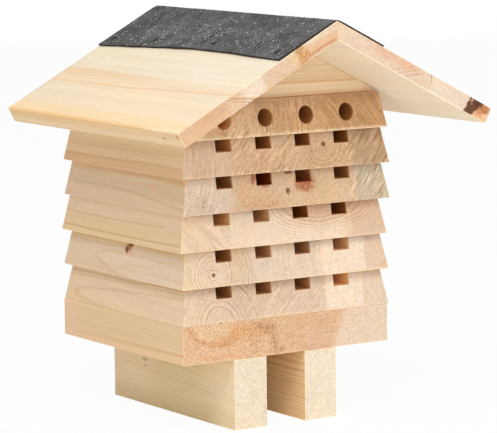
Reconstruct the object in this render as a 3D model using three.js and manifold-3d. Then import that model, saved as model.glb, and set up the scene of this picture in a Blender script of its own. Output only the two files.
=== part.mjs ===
// Bee hotel: a stack of grooved trays and a drilled block under a small pitched roof, on two runners.
// Millimetres, +Z up. The front, with the nest openings, faces -Y. The origin is on the ground below
// the middle of the roof's outline, which is also the middle of the whole part.
import * as THREE from 'three';
import { mergeVertices } from 'three/addons/utils/BufferGeometryUtils.js';
import Module from 'manifold-3d';

const wasm = await Module();
wasm.setup();

// The stack: trays and drilled block are the same board, wider at the bottom than at the top.
const trayCount = 5;
const boardThickness = 20;
const trayWidth = 137;
const trayDepth = 128.4;
const sideLean = 3.8;
const frontLean = 3.4;
const backLean = 3.3;

// How far each layer sits out of line, as shares of the largest slip, from the base board up.
const layerSlip = 1;
const slipSharesX = [-0.6, 0, 0, -0.8, 1, 0.6, -0.3];
const slipSharesY = [0.2, -0.1, -0.1, 0.4, -0.1, -0.3, 0.1];

// Grooves in the top face of each tray, open at the front and closed at the back.
const nestCount = 4;
const grooveWidth = 10.5;
const grooveDepth = 7;
const grooveLength = 112;
const groovePitch = 26;
const grooveShift = -1.4;

// Round holes drilled from the front into the top block.
const holeDiameter = 10;
const holePitch = 27;
const holeShift = 1;
const holeHeight = 10;
const holeLength = 100;

// Base board and runners. The base board stands a hair proud of the trays in front and behind, and
// a little back from them at the sides. The runners are as long as it is deep.
const baseThickness = 21;
const baseProud = 0.2;
const baseSetback = 0.5;
const legWidth = 21;
const legHeight = 39.5;
const legSpacing = 46.5;
const legShift = -2;

// Roof. The two boards meet in an upright seam at the ridge, which is a little left of the middle.
const roofWidth = 203.4;
const leftSlopeDegrees = 27.9;
const rightSlopeDegrees = 27.1;
const roofBoardThickness = 9;
const frontOverhang = 50.8;
const backOverhang = 2.4;
const ridgeShift = -1.1;
const gableHeight = 34.4;
const gableWidth = 126;
const gableThickness = 18;
const gableSetback = 3.8;

// Roofing felt, folded over the ridge. The share list gives the width of its left flap from front to back.
const feltThickness = 1.2;
const feltLeftWidth = 41;
const feltRightWidth = 34;
const feltEdgeShares = [[0, 1], [0.12, 0.985], [0.3, 0.94], [0.46, 0.95], [0.72, 1.02], [1, 1.09]];
const feltEdgeSteps = 18;

// Fasteners: head and shank radii, head height and length.
const layerNail = { shank: 0.9, head: 2, headHeight: 1, length: 33, tip: 3 };
const roofNail = { shank: 0.9, head: 2, headHeight: 1, length: 28, tip: 3 };
const gableNail = { shank: 0.9, head: 2, headHeight: 1, length: 32, tip: 3 };
const feltNail = { shank: 0.9, head: 1.7, headHeight: 0.7, length: 8, tip: 2 };
const legScrew = { shank: 2, head: 4, headHeight: 2.4, length: 45, tip: 4 };
const layerNailShare = 0.3;
const blockNailShare = 0.16;
const legScrewShare = 0.38;
const roofNailFromRidge = 22;
const feltNailSharesAlong = [0.063, 0.417, 0.733, 0.965];
const feltNailSharesDown = [0.85, 0.8, 0.875, 0.9];

// Clearances between neighbours.
const seatGap = 0.05;
const nailClearance = 0.3;
const cutOverrun = 2;
const nailSides = 10;
const holeSides = 24;

// Worked out from the sizes above.
const leftSlope = THREE.MathUtils.degToRad(leftSlopeDegrees);
const rightSlope = THREE.MathUtils.degToRad(rightSlopeDegrees);
const roofDepth = frontOverhang + trayDepth + backOverhang;
const roofFront = -roofDepth / 2;
const stackMiddleY = roofFront + frontOverhang + trayDepth / 2;
const layerCount = trayCount + 2;
const baseWidth = trayWidth - 2 * baseSetback;
const baseDepth = trayDepth + 2 * baseProud;
const leftRun = roofWidth / 2 + ridgeShift;
const rightRun = roofWidth / 2 - ridgeShift;

// Colours of the bare woods, the felt and the steel.
const finish = {
  tray: { color: 0xdcbb92, roughness: 0.75, metalness: 0 },
  block: { color: 0xc99c6c, roughness: 0.75, metalness: 0 },
  base: { color: 0xe0b586, roughness: 0.75, metalness: 0 },
  leg: { color: 0xf0e0c0, roughness: 0.75, metalness: 0 },
  gable: { color: 0xe2bd8f, roughness: 0.75, metalness: 0 },
  roof: { color: 0xf6e6c4, roughness: 0.7, metalness: 0 },
  felt: { color: 0x4a4c50, roughness: 0.95, metalness: 0 },
  steel: { color: 0x8f9296, roughness: 0.4, metalness: 1 },
};

function meshOf(name, geometry, look) {
  const mesh = new THREE.Mesh(geometry, new THREE.MeshStandardMaterial(look));
  mesh.name = name;
  return mesh;
}

// Closed solids for cutting and joining, from a geometry and back.
function solidOf(geometry) {
  const bare = geometry.clone();
  bare.deleteAttribute('normal');
  bare.deleteAttribute('uv');
  const merged = mergeVertices(bare);
  return new wasm.Manifold(new wasm.Mesh({
    numProp: 3,
    vertProperties: merged.attributes.position.array,
    triVerts: Uint32Array.from(merged.index.array),
  }));
}

function geometryOf(solid) {
  const mesh = solid.getMesh();
  const geometry = new THREE.BufferGeometry();
  geometry.setAttribute('position', new THREE.BufferAttribute(mesh.vertProperties, 3));
  geometry.setIndex(new THREE.BufferAttribute(mesh.triVerts, 1));
  geometry.computeVertexNormals();
  return geometry;
}

// Cuts tools, given in the part's own frame, out of a geometry that will stand at a place.
function cutAt(geometry, place, tools) {
  let solid = solidOf(geometry);
  for (const tool of tools) {
    const moved = tool.clone().translate(-place.x, -place.y, -place.z);
    solid = solid.subtract(solidOf(moved));
  }
  return geometryOf(solid);
}

// A box with its bottom face at z = 0, from x0 to x1 and y0 to y1.
function boxBetween(x0, x1, y0, y1, z0, z1) {
  const box = new THREE.BoxGeometry(x1 - x0, y1 - y0, z1 - z0);
  return box.translate((x0 + x1) / 2, (y0 + y1) / 2, (z0 + z1) / 2);
}

// The board of the stack: a box whose top face is drawn in on all four sides.
function leaningBoard() {
  const board = boxBetween(-trayWidth / 2, trayWidth / 2, -trayDepth / 2, trayDepth / 2, 0, boardThickness);
  const corners = board.attributes.position;
  for (let i = 0; i < corners.count; i += 1) {
    if (corners.getZ(i) > 0) {
      corners.setX(i, corners.getX(i) - Math.sign(corners.getX(i)) * sideLean);
      const lean = corners.getY(i) < 0 ? frontLean : -backLean;
      corners.setY(i, corners.getY(i) + lean);
    }
  }
  return board;
}

// Places of the layers, from the base board (0) to the drilled block, each at its bottom middle.
function layerHeight(level) {
  const below = level === 0 ? 0 : baseThickness + seatGap + (level - 1) * (boardThickness + seatGap);
  return legHeight + seatGap + below;
}

function layerPlace(level) {
  const x = slipSharesX[level] * layerSlip;
  const y = stackMiddleY + slipSharesY[level] * layerSlip;
  return new THREE.Vector3(x, y, layerHeight(level));
}

function layerTop(level) {
  return layerHeight(level) + (level === 0 ? baseThickness : boardThickness);
}

function nestOffset(index, pitch, shift) {
  return (index - (nestCount - 1) / 2) * pitch + shift;
}

// A headed nail or screw with its head's top at the origin and its point down, turned about Z.
// Growth widens it into the hole that it sits in, and opens that hole past the head.
function fastener(size, growth, countersunk) {
  const shank = size.shank + growth;
  const head = size.head + growth;
  const outline = [
    new THREE.Vector2(0, -size.length - growth),
    new THREE.Vector2(shank, -size.length + size.tip),
    new THREE.Vector2(shank, -size.headHeight - (countersunk ? growth : 0)),
  ];
  if (!countersunk) {
    outline.push(new THREE.Vector2(head, -size.headHeight));
  }
  outline.push(new THREE.Vector2(head, 0));
  if (growth > 0) {
    outline.push(new THREE.Vector2(head, cutOverrun));
  }
  outline.push(new THREE.Vector2(0, growth > 0 ? cutOverrun : 0));
  const turned = new THREE.LatheGeometry(outline, nailSides);
  return turned.rotateX(Math.PI / 2);
}

// Nails and screws that stand upright: where each is, which way it points and what size it is.
function uprightAt(size, x, y, z, countersunk = false, upward = false) {
  return { size, x, y, z, countersunk, upward };
}

function uprightShape(pin, growth) {
  const shape = fastener(pin.size, growth, pin.countersunk);
  if (pin.upward) {
    shape.rotateX(Math.PI);
  }
  return shape;
}

function uprightTool(pin) {
  return uprightShape(pin, nailClearance).translate(pin.x, pin.y, pin.z);
}

function ribX(rib) {
  return nestOffset(rib, groovePitch, grooveShift) + groovePitch / 2;
}

// Two fasteners in two columns, one on each side of the middle of the stack's depth.
function pairAlong(size, columns, reach, top, countersunk = false) {
  return columns.map((x, i) => uprightAt(size, x, stackMiddleY + (2 * i - 1) * reach, top, countersunk));
}

// Two nails hold each layer to the one below. They change ribs from layer to layer. The lowest tray
// and the drilled block have theirs in the middle rib, clear of the leg screws and the gable nails.
function layerNails(level) {
  if (level === 0) {
    return [];
  }
  const isBlock = level === layerCount - 1;
  const columns = isBlock || level === 1 ? [ribX(1), ribX(1)] : [ribX(0), ribX(nestCount - 2)];
  const turn = level % 2 === 0 ? 1 : -1;
  const share = isBlock ? blockNailShare : layerNailShare;
  return pairAlong(layerNail, columns, turn * share * trayDepth, layerTop(level));
}

// Two screws hold the base board to each leg.
function legX(side) {
  return legShift + side * legSpacing / 2;
}

function legScrews(side) {
  return pairAlong(legScrew, [legX(side), legX(side)], legScrewShare * baseDepth, layerTop(0), true);
}

// Places of the two gable boards, and the nails that come up into them from under the drilled block.
const gableMiddleFromStack = trayDepth / 2 - frontLean - gableSetback - gableThickness / 2;
const gableEnds = { front: -1, rear: 1 };

function gableY(end) {
  return stackMiddleY + gableEnds[end] * gableMiddleFromStack;
}

function gableNails(end) {
  const under = layerHeight(layerCount - 1);
  return [0, nestCount - 2].map((rib) => uprightAt(gableNail, ribX(rib), gableY(end), under, false, true));
}

// The roof's section: a place a given way down one slope from the ridge, lifted square to the slope.
const gableFoot = layerTop(layerCount - 1) + seatGap;

function slopeOf(side) {
  return side < 0 ? leftSlope : rightSlope;
}

function ridgeHeight(side, lift) {
  const square = seatGap + roofBoardThickness + lift;
  return gableFoot + gableHeight + square / Math.cos(slopeOf(side));
}

function onSlope(side, down, lift) {
  const slope = slopeOf(side);
  const x = ridgeShift + side * (down * Math.cos(slope) + lift * Math.sin(slope));
  const z = ridgeHeight(side, 0) - down * Math.sin(slope) + lift * Math.cos(slope);
  return new THREE.Vector2(x, z);
}

// Extrudes an outline in X and Z along Y, from the front face to the back face.
function extrudeBack(outline, front, back) {
  const shape = new THREE.Shape(outline.map((point) => new THREE.Vector2(point.x, point.y)));
  const solid = new THREE.ExtrudeGeometry(shape, { depth: back - front, bevelEnabled: false });
  return solid.rotateX(Math.PI / 2).translate(0, back, 0);
}

// Fasteners that stand square to one slope of the roof.
function slopeTool(size, side, down, lift, y, growth) {
  const foot = onSlope(side, down, lift);
  const shape = fastener(size, growth, false);
  return shape.rotateY(side * slopeOf(side)).translate(foot.x, y, foot.y);
}

// The stack.
function grooveTools(level) {
  const place = layerPlace(level);
  const top = layerTop(level);
  const front = place.y - trayDepth / 2;
  const tools = [];
  for (let i = 0; i < nestCount; i += 1) {
    const left = place.x + nestOffset(i, groovePitch, grooveShift) - grooveWidth / 2;
    const cut = [front - cutOverrun, front + grooveLength, top - grooveDepth, top + cutOverrun];
    tools.push(boxBetween(left, left + grooveWidth, ...cut));
  }
  return tools;
}

function holeTools() {
  const place = layerPlace(layerCount - 1);
  const middle = place.y - trayDepth / 2 + (holeLength - cutOverrun) / 2;
  const radius = holeDiameter / 2;
  const tools = [];
  for (let i = 0; i < nestCount; i += 1) {
    const drill = new THREE.CylinderGeometry(radius, radius, holeLength + cutOverrun, holeSides);
    const x = place.x + nestOffset(i, holePitch, holeShift);
    tools.push(drill.translate(x, middle, place.z + holeHeight));
  }
  return tools;
}

function makeBase() {
  const place = layerPlace(0);
  const board = boxBetween(-baseWidth / 2, baseWidth / 2, -baseDepth / 2, baseDepth / 2, 0, baseThickness);
  const pins = [...layerNails(1), ...legScrews(-1), ...legScrews(1)];
  const mesh = meshOf('base_board', cutAt(board, place, pins.map(uprightTool)), finish.base);
  mesh.position.copy(place);
  return mesh;
}

function makeTray(number) {
  const level = trayCount + 1 - number;
  const place = layerPlace(level);
  const pins = [...layerNails(level), ...layerNails(level + 1)];
  const tools = [...grooveTools(level), ...pins.map(uprightTool)];
  const mesh = meshOf(`tray_${number}`, cutAt(leaningBoard(), place, tools), finish.tray);
  mesh.position.copy(place);
  return mesh;
}

function makeTopBlock() {
  const level = layerCount - 1;
  const place = layerPlace(level);
  const pins = [...layerNails(level), ...gableNails('front'), ...gableNails('rear')];
  const tools = [...holeTools(), ...pins.map(uprightTool)];
  const mesh = meshOf('drilled_top_block', cutAt(leaningBoard(), place, tools), finish.block);
  mesh.position.copy(place);
  return mesh;
}

function makeLeg(name, side) {
  const place = new THREE.Vector3(legX(side), layerPlace(0).y - baseDepth / 2, 0);
  const board = boxBetween(-legWidth / 2, legWidth / 2, 0, baseDepth, 0, legHeight);
  const mesh = meshOf(name, cutAt(board, place, legScrews(side).map(uprightTool)), finish.leg);
  mesh.position.copy(place);
  return mesh;
}

function makeGable(end) {
  const place = new THREE.Vector3(0, gableY(end), 0);
  const half = gableWidth / 2;
  const rise = (side) => gableHeight - Math.abs(side * half - ridgeShift) * Math.tan(slopeOf(side));
  const outline = [
    new THREE.Vector2(-half, gableFoot),
    new THREE.Vector2(half, gableFoot),
    new THREE.Vector2(half, gableFoot + rise(1)),
    new THREE.Vector2(ridgeShift, gableFoot + gableHeight),
    new THREE.Vector2(-half, gableFoot + rise(-1)),
  ];
  const board = extrudeBack(outline, -gableThickness / 2, gableThickness / 2);
  const tools = gableNails(end).map(uprightTool);
  for (const side of [-1, 1]) {
    tools.push(slopeTool(roofNail, side, roofNailFromRidge, 0, gableY(end), nailClearance));
  }
  const mesh = meshOf(`${end}_gable_board`, cutAt(board, place, tools), finish.gable);
  mesh.position.copy(place);
  return mesh;
}

// The roof.
function feltNailPlace(side, index) {
  const flap = side < 0 ? feltLeftWidth : feltRightWidth;
  return { down: feltNailSharesDown[index] * flap, y: roofFront + feltNailSharesAlong[index] * roofDepth };
}

function feltNailTools(side) {
  return feltNailSharesAlong.map((share, index) => {
    const spot = feltNailPlace(side, index);
    return slopeTool(feltNail, side, spot.down, feltNailLift, spot.y, nailClearance);
  });
}

const feltNailLift = seatGap + feltThickness + feltNail.headHeight;

function makeRoofBoard(name, side) {
  const run = side < 0 ? leftRun : rightRun;
  const length = run / Math.cos(slopeOf(side));
  const seam = ridgeShift + side * seatGap / 2;
  const slant = seatGap / 2 * Math.tan(slopeOf(side));
  const outline = [
    new THREE.Vector2(seam, ridgeHeight(side, 0) - slant),
    onSlope(side, length, 0),
    onSlope(side, length, -roofBoardThickness),
    new THREE.Vector2(seam, ridgeHeight(side, -roofBoardThickness) - slant),
  ];
  const board = extrudeBack(outline, roofFront, roofFront + roofDepth);
  const tools = feltNailTools(side);
  for (const end of Object.keys(gableEnds)) {
    tools.push(slopeTool(roofNail, side, roofNailFromRidge, 0, gableY(end), nailClearance));
  }
  return meshOf(name, cutAt(board, new THREE.Vector3(), tools), finish.roof);
}

// The felt follows both slopes. Its plan outline trims the left flap to its wavy edge.
function feltPlan() {
  const right = ridgeShift + feltRightWidth * Math.cos(rightSlope);
  const edge = new THREE.SplineCurve(feltEdgeShares.map(([along, wide]) => {
    const left = ridgeShift - wide * feltLeftWidth * Math.cos(leftSlope);
    return new THREE.Vector2(left, roofFront + along * roofDepth);
  }));
  const plan = new THREE.Shape();
  plan.moveTo(right, roofFront);
  plan.lineTo(right, roofFront + roofDepth);
  for (const point of edge.getPoints(feltEdgeSteps).reverse()) {
    plan.lineTo(point.x, point.y);
  }
  return new THREE.ExtrudeGeometry(plan, { depth: 2 * ridgeHeight(1, 0), bevelEnabled: false });
}

function makeFelt() {
  const widest = 2 * Math.max(feltLeftWidth, feltRightWidth);
  const low = seatGap;
  const high = seatGap + feltThickness;
  const fold = (lift) => Math.max(ridgeHeight(-1, lift), ridgeHeight(1, lift));
  const crease = (lift) => new THREE.Vector2(ridgeShift, fold(lift));
  const outline = [
    onSlope(-1, widest, low),
    crease(low),
    onSlope(1, widest, low),
    onSlope(1, widest, high),
    crease(high),
    onSlope(-1, widest, high),
  ];
  const sheet = solidOf(extrudeBack(outline, roofFront, roofFront + roofDepth));
  const trimmed = geometryOf(sheet.intersect(solidOf(feltPlan())));
  const tools = [...feltNailTools(-1), ...feltNailTools(1)];
  return meshOf('roofing_felt', cutAt(trimmed, new THREE.Vector3(), tools), finish.felt);
}

// Nails and screws as pieces of their own.
function uprightMesh(name, pin) {
  const mesh = meshOf(name, uprightShape(pin, 0), finish.steel);
  mesh.position.set(pin.x, pin.y, pin.z);
  return mesh;
}

function slopeMesh(name, size, side, down, lift, y) {
  const foot = onSlope(side, down, lift);
  const mesh = meshOf(name, fastener(size, 0, false), finish.steel);
  mesh.rotation.y = side * slopeOf(side);
  mesh.position.set(foot.x, y, foot.y);
  return mesh;
}

const stack = new THREE.Group();
stack.add(makeLeg('left_leg', -1), makeLeg('right_leg', 1), makeBase());
for (let number = trayCount; number >= 1; number -= 1) {
  stack.add(makeTray(number));
}
stack.add(makeTopBlock(), makeGable('front'), makeGable('rear'));

const roof = new THREE.Group();
roof.add(makeRoofBoard('left_roof_board', -1), makeRoofBoard('right_roof_board', 1), makeFelt());

const fasteners = new THREE.Group();
const sideNames = { left: -1, right: 1 };
for (const [word, side] of Object.entries(sideNames)) {
  legScrews(side).forEach((pin, i) => fasteners.add(uprightMesh(`${word}_leg_screw_${i + 1}`, pin)));
  for (const end of Object.keys(gableEnds)) {
    fasteners.add(slopeMesh(`${word}_roof_nail_${end}`, roofNail, side, roofNailFromRidge, 0, gableY(end)));
  }
  for (let i = 0; i < feltNailSharesAlong.length; i += 1) {
    const spot = feltNailPlace(side, i);
    fasteners.add(slopeMesh(`${word}_felt_nail_${i + 1}`, feltNail, side, spot.down, feltNailLift, spot.y));
  }
}
for (let level = 1; level < layerCount; level += 1) {
  const owner = level === layerCount - 1 ? 'top_block' : `tray_${trayCount + 1 - level}`;
  layerNails(level).forEach((pin, i) => fasteners.add(uprightMesh(`${owner}_nail_${i + 1}`, pin)));
}
for (const end of Object.keys(gableEnds)) {
  gableNails(end).forEach((pin, i) => fasteners.add(uprightMesh(`${end}_gable_nail_${i + 1}`, pin)));
}

const hotel = new THREE.Group();
hotel.add(stack, roof, fasteners);
export default hotel;
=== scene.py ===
# %% [markdown]
# A bee hotel, dressed over its solid model.
# The hotel is a stack of five grooved trays and one drilled block under a small pitched roof, on two
# runners. Everything is bare softwood, apart from a strip of roofing felt on the ridge and its nails.
# The solid model gives every size and place. This lesson adds what a workshop would: arrises that
# catch the light, wood that is cut from a log with rings and knots, and felt with mineral grit.

# %% Load the solid model and note its box
import math

import bmesh
import bpy
from mathutils import Matrix, Vector, noise


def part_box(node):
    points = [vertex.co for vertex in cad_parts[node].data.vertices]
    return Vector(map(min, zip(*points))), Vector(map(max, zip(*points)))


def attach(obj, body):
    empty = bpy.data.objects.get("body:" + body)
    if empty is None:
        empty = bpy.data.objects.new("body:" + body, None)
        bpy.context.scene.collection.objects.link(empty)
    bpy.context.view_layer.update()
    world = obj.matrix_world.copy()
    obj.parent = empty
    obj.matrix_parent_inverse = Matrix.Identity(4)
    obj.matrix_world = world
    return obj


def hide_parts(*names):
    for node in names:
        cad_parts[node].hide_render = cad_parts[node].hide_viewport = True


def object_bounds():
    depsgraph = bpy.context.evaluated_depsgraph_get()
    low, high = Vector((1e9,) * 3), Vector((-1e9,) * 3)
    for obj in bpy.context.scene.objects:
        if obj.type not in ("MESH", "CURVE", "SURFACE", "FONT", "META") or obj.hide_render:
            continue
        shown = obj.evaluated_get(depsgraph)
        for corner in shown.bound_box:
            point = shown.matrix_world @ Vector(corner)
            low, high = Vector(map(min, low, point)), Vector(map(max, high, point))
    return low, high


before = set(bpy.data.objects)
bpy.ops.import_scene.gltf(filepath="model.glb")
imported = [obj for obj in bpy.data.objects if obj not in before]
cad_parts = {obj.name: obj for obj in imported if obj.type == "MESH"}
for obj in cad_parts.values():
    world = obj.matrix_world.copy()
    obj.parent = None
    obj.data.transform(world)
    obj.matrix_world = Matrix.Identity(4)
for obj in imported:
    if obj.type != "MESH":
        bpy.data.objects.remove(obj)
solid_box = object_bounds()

MM = 0.001
print("pieces in the solid model:", len(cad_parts))
print("box in millimetres:", [round(side / MM, 1) for side in solid_box[1] - solid_box[0]])

# %% [markdown]
# The camera stands to the left of the front, a little above the middle of the stack. Set by eye, it
# would put no edge quite where it should be. It was found by fitting a pinhole camera to the corners
# of the boards, and it is given here as a photographer would say it: where it looks, from which side,
# how high, how far away and how long the lens is.

# %% Place the camera
camera_azimuth = math.radians(-33.3815)
camera_elevation = math.radians(7.5228)
camera_roll = math.radians(-0.6034)
camera_distance = 1649.3 * MM
camera_target = Vector((16.53, 24.2, 107.59)) * MM
lens_length = 209.1
film_width = 36
farthest_seen = 20

back_x = math.sin(camera_azimuth) * math.cos(camera_elevation)
back_y = -math.cos(camera_azimuth) * math.cos(camera_elevation)
camera_back = Vector((back_x, back_y, math.sin(camera_elevation)))
level_right = Vector((math.cos(camera_azimuth), math.sin(camera_azimuth), 0))
level_up = camera_back.cross(level_right)
camera_right = level_right * math.cos(camera_roll) + level_up * math.sin(camera_roll)
camera_up = camera_back.cross(camera_right)

camera = bpy.data.objects.new("camera", bpy.data.cameras.new("camera"))
camera.data.lens = lens_length
camera.data.sensor_width = film_width
camera.data.clip_end = farthest_seen
turn = Matrix((camera_right, camera_up, camera_back)).transposed()
camera.matrix_world = Matrix.Translation(camera_target + camera_back * camera_distance) @ turn.to_4x4()
bpy.context.scene.collection.objects.link(camera)
bpy.context.scene.camera = camera
print("camera at", [round(side / MM) for side in camera.matrix_world.translation])

# %% [markdown]
# Materials and repeated pieces come from node trees. Trees can be wired by hand in the editor, but a
# script that names each box and wire is hard to read, and sums are easy. So a Value wraps one output
# socket, and its operators add the maths node that they stand for. A Net wraps a tree: it makes any
# node from its type, its settings and what goes into its sockets. Both serve materials and shapes.

# %% A socket that can stand in an expression
class Value:
    """The output of a node, which can be added to, multiplied and so on."""

    def __init__(self, net, socket):
        self.net = net
        self.socket = socket

    def is_vector(self):
        return self.socket.type in ("VECTOR", "RGBA")

    def __add__(self, other):
        return self.net.maths("ADD", self, other)

    def __radd__(self, other):
        return self.net.maths("ADD", other, self)

    def __sub__(self, other):
        return self.net.maths("SUBTRACT", self, other)

    def __rsub__(self, other):
        return self.net.maths("SUBTRACT", other, self)

    def __mul__(self, other):
        return self.net.maths("MULTIPLY", self, other)

    def __rmul__(self, other):
        return self.net.maths("MULTIPLY", other, self)

    def __truediv__(self, other):
        return self.net.maths("DIVIDE", self, other)

    def __rtruediv__(self, other):
        return self.net.maths("DIVIDE", other, self)

    def __abs__(self):
        return self.net.maths("ABSOLUTE", self)


print("a value takes part in + - * / and abs")

# %% A tree that makes its own nodes
def socket_named(sockets, key):
    for socket in sockets:
        if socket.enabled and key in (socket.identifier, socket.name):
            return socket
    raise KeyError(key)


class Made:
    """A node that was made. Its outputs are had by name."""

    def __init__(self, net, node):
        self.net = net
        self.node = node

    def __getitem__(self, key):
        return Value(self.net, socket_named(self.node.outputs, key))


class Net:
    """A node tree, which can be that of a material, of the world or of a shape."""

    def __init__(self, tree):
        self.tree = tree

    def add(self, kind, settings=None, sockets=None):
        node = self.tree.nodes.new(kind)
        for key, value in (settings or {}).items():
            setattr(node, key, value)
        for key, value in (sockets or {}).items():
            for item in value if isinstance(value, list) else [value]:
                self.feed(socket_named(node.inputs, key), item)
        return Made(self, node)

    def feed(self, socket, value):
        if isinstance(value, Value):
            self.tree.links.new(value.socket, socket)
        else:
            socket.default_value = value

    def maths(self, operation, *terms):
        vectors = [isinstance(t, (tuple, Vector)) or isinstance(t, Value) and t.is_vector() for t in terms]
        if not any(vectors):
            node = self.add("ShaderNodeMath", {"operation": operation})
            for socket, term in zip(node.node.inputs, terms):
                self.feed(socket, term)
            return node["Value"]
        if operation == "MULTIPLY" and not all(vectors):
            vector, number = terms if vectors[0] else terms[::-1]
            sockets = {"Vector": vector, "Scale": number}
            return self.add("ShaderNodeVectorMath", {"operation": "SCALE"}, sockets)["Vector"]
        node = self.add("ShaderNodeVectorMath", {"operation": operation})
        for socket, term in zip(node.node.inputs, terms):
            self.feed(socket, term)
        return node["Vector"]

    def length(self, vector):
        return self.add("ShaderNodeVectorMath", {"operation": "LENGTH"}, {"Vector": vector})["Value"]

    def vector(self, x, y, z):
        return self.add("ShaderNodeCombineXYZ", None, {"X": x, "Y": y, "Z": z})["Vector"]

    def parts(self, vector):
        split = self.add("ShaderNodeSeparateXYZ", None, {"Vector": vector})
        return split["X"], split["Y"], split["Z"]

    def fade(self, value, low, high):
        """0 at low and 1 at high, eased at both ends. It falls where low is above high."""
        sockets = {"Value": value, "From Min": low, "From Max": high}
        return self.add("ShaderNodeMapRange", {"interpolation_type": "SMOOTHSTEP"}, sockets)["Result"]

    def noise(self, vector, size, detail=2.0, roughness=0.5):
        """Soft noise around 0.5, with features of about the size given."""
        sockets = {"Vector": vector, "Scale": 1 / size, "Detail": detail, "Roughness": roughness}
        return self.add("ShaderNodeTexNoise", None, sockets)["Fac"]

    def mix(self, factor, first, second, way="MIX"):
        settings = {"data_type": "RGBA", "blend_type": way}
        sockets = {"Factor_Float": factor, "A_Color": first, "B_Color": second}
        return self.add("ShaderNodeMix", settings, sockets)["Result_Color"]

    def place(self):
        """The place of a point in millimetres of the hotel's frame."""
        return self.add("ShaderNodeTexCoord")["Object"] * (1 / MM)

    def relief(self, height, strength, depth):
        """The normal of a surface with hills and hollows of a depth in millimetres."""
        sockets = {"Strength": strength, "Distance": depth * MM, "Height": height}
        return self.add("ShaderNodeBump", None, sockets)["Normal"]

    def surface(self, colour, roughness, normal, more=None):
        """The shader that closes a material. Other sockets of it can be given by name."""
        sockets = {"Base Color": colour, "Roughness": roughness, "Normal": normal, **(more or {})}
        shader = self.add("ShaderNodeBsdfPrincipled", None, sockets)
        self.add("ShaderNodeOutputMaterial", None, {"Surface": shader["BSDF"]})


print("a net can make any node")

# %% Colours and empty materials
def paint(red, green, blue):
    """A colour given as it looks on a screen, from 0 to 255, as the linear numbers that nodes take."""
    shares = [channel / 255 for channel in (red, green, blue)]
    return tuple(s / 12.92 if s <= 0.04045 else ((s + 0.055) / 1.055) ** 2.4 for s in shares) + (1.0,)


def blank_material(name):
    """A material with an empty tree, and the net that fills it."""
    material = bpy.data.materials.new(name)
    material.use_nodes = True
    material.node_tree.nodes.clear()
    return material, Net(material.node_tree)


print("a mid grey of 128 is", round(paint(128, 128, 128)[0], 3), "in linear light")

# %% [markdown]
# The studio is a plain pale floor under a white sky, with soft lamps. A picture of a real studio could
# light the hotel, but two lamps are enough, and each can be turned and dimmed alone. The sky is white
# to the camera and dimmer as a light, so that the wood isn't washed out. The floor is lit like any
# surface, so it takes the hotel's shadow, and a share of plain white is laid over it for the camera.
# Each lamp's power is worked out from how bright a white card facing it would be: 1 is full white.

# %% World and floor
sky_level = 0.53
floor_radius = 3.0
floor_sides = 96
floor_white_share = 0.95


def seen_straight(net):
    path = net.add("ShaderNodeLightPath")
    either = net.maths("MAXIMUM", path["Is Camera Ray"], path["Is Glossy Ray"])
    return net.maths("MAXIMUM", either, path["Is Transmission Ray"])


world = bpy.data.worlds.new("white_sky")
world.use_nodes = True
world.node_tree.nodes.clear()
sky = Net(world.node_tree)
sky_strength = seen_straight(sky) * (1 - sky_level) + sky_level
sky_light = sky.add("ShaderNodeBackground", None, {"Color": (1, 1, 1, 1), "Strength": sky_strength})
sky.add("ShaderNodeOutputWorld", None, {"Surface": sky_light["Background"]})
bpy.context.scene.world = world
bpy.context.scene.view_settings.view_transform = "Standard"

floor_material, ground = blank_material("studio_floor")
matt = ground.add("ShaderNodeBsdfDiffuse", None, {"Color": paint(252, 252, 251)})["BSDF"]
white = ground.add("ShaderNodeEmission", None, {"Strength": 1.0})["Emission"]
cover = seen_straight(ground) * floor_white_share
both = ground.add("ShaderNodeMixShader", None, {"Fac": cover})
ground.feed(both.node.inputs[1], matt)
ground.feed(both.node.inputs[2], white)
ground.add("ShaderNodeOutputMaterial", None, {"Surface": both["Shader"]})


def object_of(name, mesh, *materials):
    made = bpy.data.objects.new(name, mesh)
    for material in materials:
        mesh.materials.append(material)
    bpy.context.scene.collection.objects.link(made)
    return made


floor_shape = bmesh.new()
bmesh.ops.create_circle(floor_shape, cap_ends=True, segments=floor_sides, radius=floor_radius)
floor_mesh = bpy.data.meshes.new("floor")
floor_shape.to_mesh(floor_mesh)
floor_shape.free()
floor = object_of("floor", floor_mesh, floor_material)
print("floor", floor_radius, "m in radius, sky level", sky_level)

# %% Lamps
stack_middle = (solid_box[0] + solid_box[1]) / 2


def lamp(name, azimuth, elevation, distance, size, level):
    """An area lamp round the hotel. Azimuth 0 is in front, and positive ones are to the right."""
    around = math.radians(azimuth)
    above = math.radians(elevation)
    flat = math.cos(above)
    away = Vector((math.sin(around) * flat, -math.cos(around) * flat, math.sin(above)))
    light = bpy.data.lights.new(name, "AREA")
    light.shape = "DISK"
    light.size = size
    light.energy = level * (math.pi * distance) ** 2
    made = bpy.data.objects.new(name, light)
    made.location = stack_middle + away * distance
    made.rotation_mode = "QUATERNION"
    made.rotation_quaternion = away.to_track_quat("Z", "Y")
    bpy.context.scene.collection.objects.link(made)


lamp("front_lamp", azimuth=-28, elevation=18, distance=1.8, size=1.0, level=0.17)
lamp("high_lamp", azimuth=-40, elevation=55, distance=1.8, size=0.8, level=0.45)

# %% [markdown]
# Wood isn't a picture on a board. It is a log of rings round a pith, and a board shows whatever part
# of the log it was sawn from: rings on its ends, straight lines or arched ones on its faces. A picture
# on each face could show that too, but the faces wouldn't agree at a corner. So each board's colour is
# worked out in space: how far a point is from the pith line, and so which ring it lies in. Ends and
# faces then agree, and a groove cuts through the same rings. A knot is a place that pushes the rings
# aside. Places are given in millimetres in the hotel's frame.

# %% The log that a board is sawn from
nest_front = -40


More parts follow.
